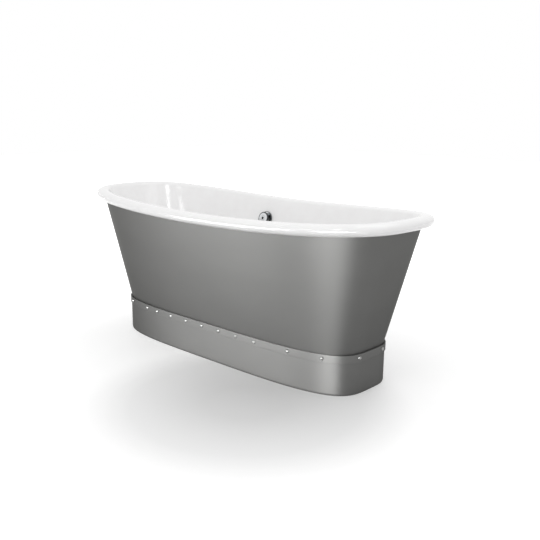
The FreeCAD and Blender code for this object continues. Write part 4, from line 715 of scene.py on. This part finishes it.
# %% Rivets: one head, copied
HEAD_RADIUS, HEAD_RISE = 7.5 * MM, 5 * MM
HEAD_SEAT, HEAD_DROP = 0.05 * MM, 15.5 * MM
HEAD_STATIONS = 28
sphere = (HEAD_RADIUS ** 2 + HEAD_RISE ** 2) / (2 * HEAD_RISE)
swing = np.linspace(math.asin(HEAD_RADIUS / sphere), 0, 9)
dome = [(0.0, HEAD_SEAT), (HEAD_RADIUS - 0.4 * MM, HEAD_SEAT)]
dome += [(sphere * math.sin(a), HEAD_RISE - sphere * (1 - math.cos(a)) + HEAD_SEAT) for a in swing]
head_points = turned_rows(dome, HEAD_STATIONS).reshape(-1, 3)
face = SEAT_GAP + STRAP_SHEET
sideways = np.column_stack((ahead, np.zeros(len(at))))
outwards = np.column_stack((out, np.zeros(len(at))))
centres = np.column_stack((at + out * face, np.full(len(at), PLINTH_HEIGHT - HEAD_DROP)))
upright = np.array((0.0, 0.0, 1.0))
heads = (
    centres[:, None]
    + head_points[None, :, :1] * sideways[:, None]
    + head_points[None, :, 1:2] * upright
    + head_points[None, :, 2:] * outwards[:, None]
).reshape(-1, 3)
quads = grid_quads(len(dome), HEAD_STATIONS, loop=False, flip=True)
firsts = np.arange(len(at))[:, None, None] * len(head_points)
all_quads = (quads[None] + firsts).reshape(-1, 4)
rivets = finished_piece("rivet_heads", heads, all_quads, rivet_steel, "bath", 50)
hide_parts("strap_rivets")
print(len(at), "rivets,", len(all_quads), "faces")

# %% [markdown]
# Chrome shows the room that it stands in. This studio is white all round, so a plain mirror would
# hardly show in the white bowl. On the real knob the rounded edge and the recess show a room's dark
# side. Here that is a painted reflection: darker rings are painted into the plate's colour by the
# distance from the spindle's line. A Mapping node of the kind Texture undoes the overflow's place, so
# that the line becomes the Z axis. What is left of a point without its Z is its way from the line,
# and a ramp gives each distance its colour. Radii are in millimetres.

# %% Chrome of the knob and its flange
RING_REACH = 36 * MM
# Painted reflection: the dark centre, the faint grey ring and the dark band at the knob's rounded edge, and
# the flange's grey edge, stand for what the chrome mirrors.
KNOB_PAINTED_RINGS = (
    (5.8, "#2c2d2e"), (6.8, "#d6d8da"), (10.6, "#d9dbdd"), (12.0, "#a4a6a8"), (13.4, "#d6d8da"),
    (23.0, "#d6d8da"), (25.0, "#55575a"), (29.0, "#3c3e40"),
)
FLANGE_PAINTED_RINGS = ((30.4, "#cfd1d3"), (32.6, "#85878a"), (35.0, "#6a6c6e"))


def by_distance(tree, location, rotation, reach, stops):
    """Give a colour by the distance from a line that stands at a location, turned by a rotation.

    A stop is a distance and a linear colour. The ramp's own two ends become the first and the last.
    """
    place = add(tree, "ShaderNodeTexCoord")
    settings = {"vector_type": "TEXTURE", "Location": location, "Rotation": rotation}
    local = add(tree, "ShaderNodeMapping", settings, {"Vector": place.outputs["Object"]})
    settings = {"operation": "MULTIPLY", 1: (1, 1, 0)}
    across = add(tree, "ShaderNodeVectorMath", settings, {0: local.outputs["Vector"]})
    away = add(tree, "ShaderNodeVectorMath", {"operation": "LENGTH"}, {0: across.outputs["Vector"]})
    share = add(tree, "ShaderNodeMapRange", {"From Max": reach}, {"Value": away.outputs["Value"]})
    ramp = add(tree, "ShaderNodeValToRGB", None, {"Fac": share.outputs["Result"]})
    marks = ramp.color_ramp.elements
    for distance, colour in stops[1:-1]:
        marks.new(distance / reach).color = colour
    for mark, (distance, colour) in ((marks[0], stops[0]), (marks[-1], stops[-1])):
        mark.position, mark.color = distance / reach, colour
    return ramp.outputs["Color"]


def chrome_with_painted_rings(name, rings):
    """Chrome with a painted reflection: its colour goes by the distance from the overflow's line."""
    material, tree, shader = start_material(name, "#d6d8da", 1.0, 0.07)
    stops = [(radius_mm * MM, linear(colour)) for radius_mm, colour in rings]
    colour = by_distance(tree, OVERFLOW.to_translation(), OVERFLOW.to_euler(), RING_REACH, stops)
    tree.links.new(colour, shader.inputs["Base Color"])
    vary_roughness(tree, shader, pattern(tree, 25.0), 0.05, 0.1)
    return material


knob_chrome = chrome_with_painted_rings("knob_plate_with_painted_rings", KNOB_PAINTED_RINGS)
flange_chrome = chrome_with_painted_rings("flange_plate_with_painted_rings", FLANGE_PAINTED_RINGS)
print(len(KNOB_PAINTED_RINGS), "rings on the knob,", len(FLANGE_PAINTED_RINGS), "on its flange")

# %% [markdown]
# The table gives each smaller CAD node its finish, and the name of its slot. Bolts, nuts, clips and
# brackets are zinc plated steel. The earthing pieces, the spindle and the plug's lifter are brass,
# the seals are rubber, and the drum, the pulley, the rocker and the waste's body are moulded.

# %% Finishes of the small CAD pieces
FINISHES = {
    "skirt_brackets": (zinc_steel, "zinc_steel"),
    "foot_bolts": (zinc_steel, "zinc_steel"),
    "lock_nuts": (zinc_steel, "zinc_steel"),
    "hose_clips": (zinc_steel, "zinc_steel"),
    # The knob's screw is zinc steel, painted near black for the dark reflection in the knob's centre.
    "knob_screw": (screw_painted_dark, "zinc_steel"),
    "rocker_pin": (zinc_steel, "zinc_steel"),
    "earth_tab": (turned_brass, "earth_brass"),
    "earth_screw": (turned_brass, "earth_brass"),
    "overflow_spindle": (turned_brass, "earth_brass"),
    "plug_lifter": (turned_brass, "earth_brass"),
    "overflow_front_gasket": (seal_rubber, "seal_rubber"),
    "overflow_rear_gasket": (seal_rubber, "seal_rubber"),
    "waste_front_gasket": (seal_rubber, "seal_rubber"),
    "waste_rear_gasket": (seal_rubber, "seal_rubber"),
    "plug_seal": (seal_rubber, "seal_rubber"),
    "overflow_flange": (flange_chrome, "chrome"),
    "overflow_knob": (knob_chrome, "chrome"),
    "waste_flange": (chrome_plate, "chrome"),
    "waste_plug": (chrome_plate, "chrome"),
    "overflow_drum": (white_plastic, "white_plastic"),
    "waste_body": (white_plastic, "white_plastic"),
    "cable_pulley": (white_plastic, "white_plastic"),
    "lift_rocker": (white_plastic, "white_plastic"),
    "overflow_hose": (hose_plastic, "hose_plastic"),
    "control_cable": (cable_sheath, "cable_black"),
}
for ending in ("front_left", "front_right", "rear_left", "rear_right"):
    FINISHES["foot_" + ending] = (black_iron, "foot_iron")
    FINISHES["level_screw_" + ending] = (zinc_steel, "zinc_steel")
    FINISHES["level_pad_" + ending] = (black_nylon, "pad_plastic")
print(len(FINISHES), "nodes have a finish")

# %% [markdown]
# The smaller CAD pieces have the right shape already, but their triangles are loose. A merged copy
# shaded smooth below an angle reads as turned or moulded. The knob's painted rings are for its front
# alone: its back and stem, which the flange mirrors, are plain plate.

# %% Smoothed copies of the small CAD pieces
MERGE_REACH = 0.001 * MM
KNOB_BACK = 21.2 * MM


def smoothed_copy(node, material):
    """Copy a CAD node's mesh, merge its loose corners, shade it smooth below 30 degrees, and show it."""
    source = frame["nodes"][node]
    mesh = bpy.data.meshes.new(node + "_finished")
    work = bmesh.new()
    work.from_mesh(source.data)
    bmesh.ops.remove_doubles(work, verts=work.verts, dist=MERGE_REACH)
    work.to_mesh(mesh)
    work.free()
    custom = mesh.attributes.get("custom_normal")
    if custom:
        mesh.attributes.remove(custom)
    mesh.materials.clear()
    mesh.materials.append(material)
    shade(mesh, 30)
    piece = new_object(node + "_finished", mesh)
    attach(piece, source["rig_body"])
    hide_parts(node)
    return piece


finished = {}
for node, (material, slot) in FINISHES.items():
    finished[node] = smoothed_copy(node, material)
knob = finished["overflow_knob"].data
knob.materials.append(chrome_plate)
centres = np.array([polygon.center for polygon in knob.polygons])
depths = placed(centres, OVERFLOW.inverted())[:, 2]
knob.polygons.foreach_set("material_index", (depths < KNOB_BACK).astype(np.int32))
print(len(FINISHES), "pieces smoothed")

# %% [markdown]
# A studio picture of a white bath needs a floor that is nearly white but still takes a shadow. The
# floor is a pale diffuse plane with extra light that only the camera and reflections see. It is
# least round a spot in front of the bath and grows with distance to plain white, so the floor there
# stays dark: that is partly the bath's own soft shadow and partly painted shadow. The distances are
# in metres, each with its light.

# %% Floor
FADE_REACH = 4.0
FADE = ((0.15, 0.0), (0.42, 0.12), (0.62, 0.33), (1.1, 0.37), (3.2, 1.0))
# Painted shadow: the extra light is least round this spot, so the floor in front of the bath stays darker.
PAINTED_SHADOW_CENTRE = (0.42, -0.42, 0.0)
FLOOR_REACH = 12.0
WHITE = (1, 1, 1, 1)


def seen_straight(tree):
    """Give 1 to the rays of the camera, of a reflection or through glass, and 0 to all others."""
    rays = add(tree, "ShaderNodeLightPath").outputs
    sources = {0: rays["Is Camera Ray"], 1: rays["Is Glossy Ray"]}
    both = add(tree, "ShaderNodeMath", {"operation": "MAXIMUM"}, sources)
    sources = {0: both.outputs["Value"], 1: rays["Is Transmission Ray"]}
    return add(tree, "ShaderNodeMath", {"operation": "MAXIMUM"}, sources).outputs["Value"]


floor_paint, tree, shader = start_material("studio_floor", "#e3e3e3", 0.0, 0.6, ior=1.4)
stops = [(metres, (light, light, light, 1)) for metres, light in FADE]
fade = by_distance(tree, PAINTED_SHADOW_CENTRE, (0, 0, 0), FADE_REACH, stops)
lift = add(tree, "ShaderNodeMath", {"operation": "MULTIPLY"}, {0: seen_straight(tree), 1: fade})
shader.inputs["Emission Color"].default_value = WHITE
tree.links.new(lift.outputs["Value"], shader.inputs["Emission Strength"])
span = [(x * FLOOR_REACH, y * FLOOR_REACH, 0) for x, y in ((-1, -1), (1, -1), (1, 1), (-1, 1))]
floor_mesh = bpy.data.meshes.new("studio_floor")
floor_mesh.from_pydata(span, [], [(0, 1, 2, 3)])
floor_mesh.materials.append(floor_paint)
floor = new_object("studio_floor", floor_mesh)
print("floor", 2 * FLOOR_REACH, "m wide")

# %% [markdown]
# The world is white to the camera and to reflections too. To all else it is a little dimmer, and
# with the overhead box it adds up to a level at which the enamel renders about as its colour is
# written.

# %% World
AROUND_LIGHT = 0.82
world = bpy.data.worlds.new("studio")
bpy.context.scene.world = world
world.use_nodes = True
tree = world.node_tree
background = tree.nodes["Background"]
settings = {"To Min": AROUND_LIGHT, "To Max": 1.0}
strength = add(tree, "ShaderNodeMapRange", settings, {"Value": seen_straight(tree)})
background.inputs["Color"].default_value = WHITE
tree.links.new(strength.outputs["Result"], background.inputs["Strength"])
print("world", AROUND_LIGHT, "to plain light")

# %% [markdown]
# Soft boxes are area lamps. A wide one overhead and behind lights the rim and drops a soft shadow in
# front of the plinth. Two tall narrow ones high in front stand for windows, and the enamel's ripples
# break their reflections into streaks in the bowl's left end. Two upright screens in front are there
# for the metal: each gives the long side one soft band, and the near end falls away into shade.
# They stand low, and the bowl's walls lean back and mirror what is above them. They give no plain
# light, so the rim's white doesn't clip.

# %% Lamps
BOWL_LEFT = (-0.6, 0.15, 0.5)


def soft_box(name, place, look_at, width, height, watts, only_gloss=False):
    """A rectangular area lamp that faces a point; one may be there for the gloss of metals alone."""
    lamp = bpy.data.lights.new(name, "AREA")
    lamp.shape = "RECTANGLE"
    lamp.size, lamp.size_y, lamp.energy = width, height, watts
    holder = new_object(name, lamp)
    aim = Vector(look_at) - Vector(place)
    turn = aim.to_track_quat("-Z", "Y").to_matrix().to_4x4()
    holder.matrix_world = Matrix.Translation(place) @ turn
    holder.visible_camera = False
    holder.visible_diffuse = not only_gloss


soft_box("overhead_box", (0.9, 0.6, 2.7), (0.0, 0.0, 0.3), 2.0, 1.6, 8)
soft_box("near_window", (0.75, -2.1, 2.7), BOWL_LEFT, 0.4, 1.1, 10)
soft_box("far_window", (-0.6, -3.5, 2.7), BOWL_LEFT, 0.35, 1.1, 6)
soft_box("left_screen", (-1.15, -2.35, 0.5), (0.24, -0.26, 0.4), 1.7, 0.9, 60, only_gloss=True)
soft_box("right_screen", (1.3, -2.7, 0.5), (0.6, -0.2, 0.4), 1.9, 0.9, 106, only_gloss=True)
bpy.context.scene.view_settings.view_transform = "Standard"
print("one overhead box, two windows and two screens")
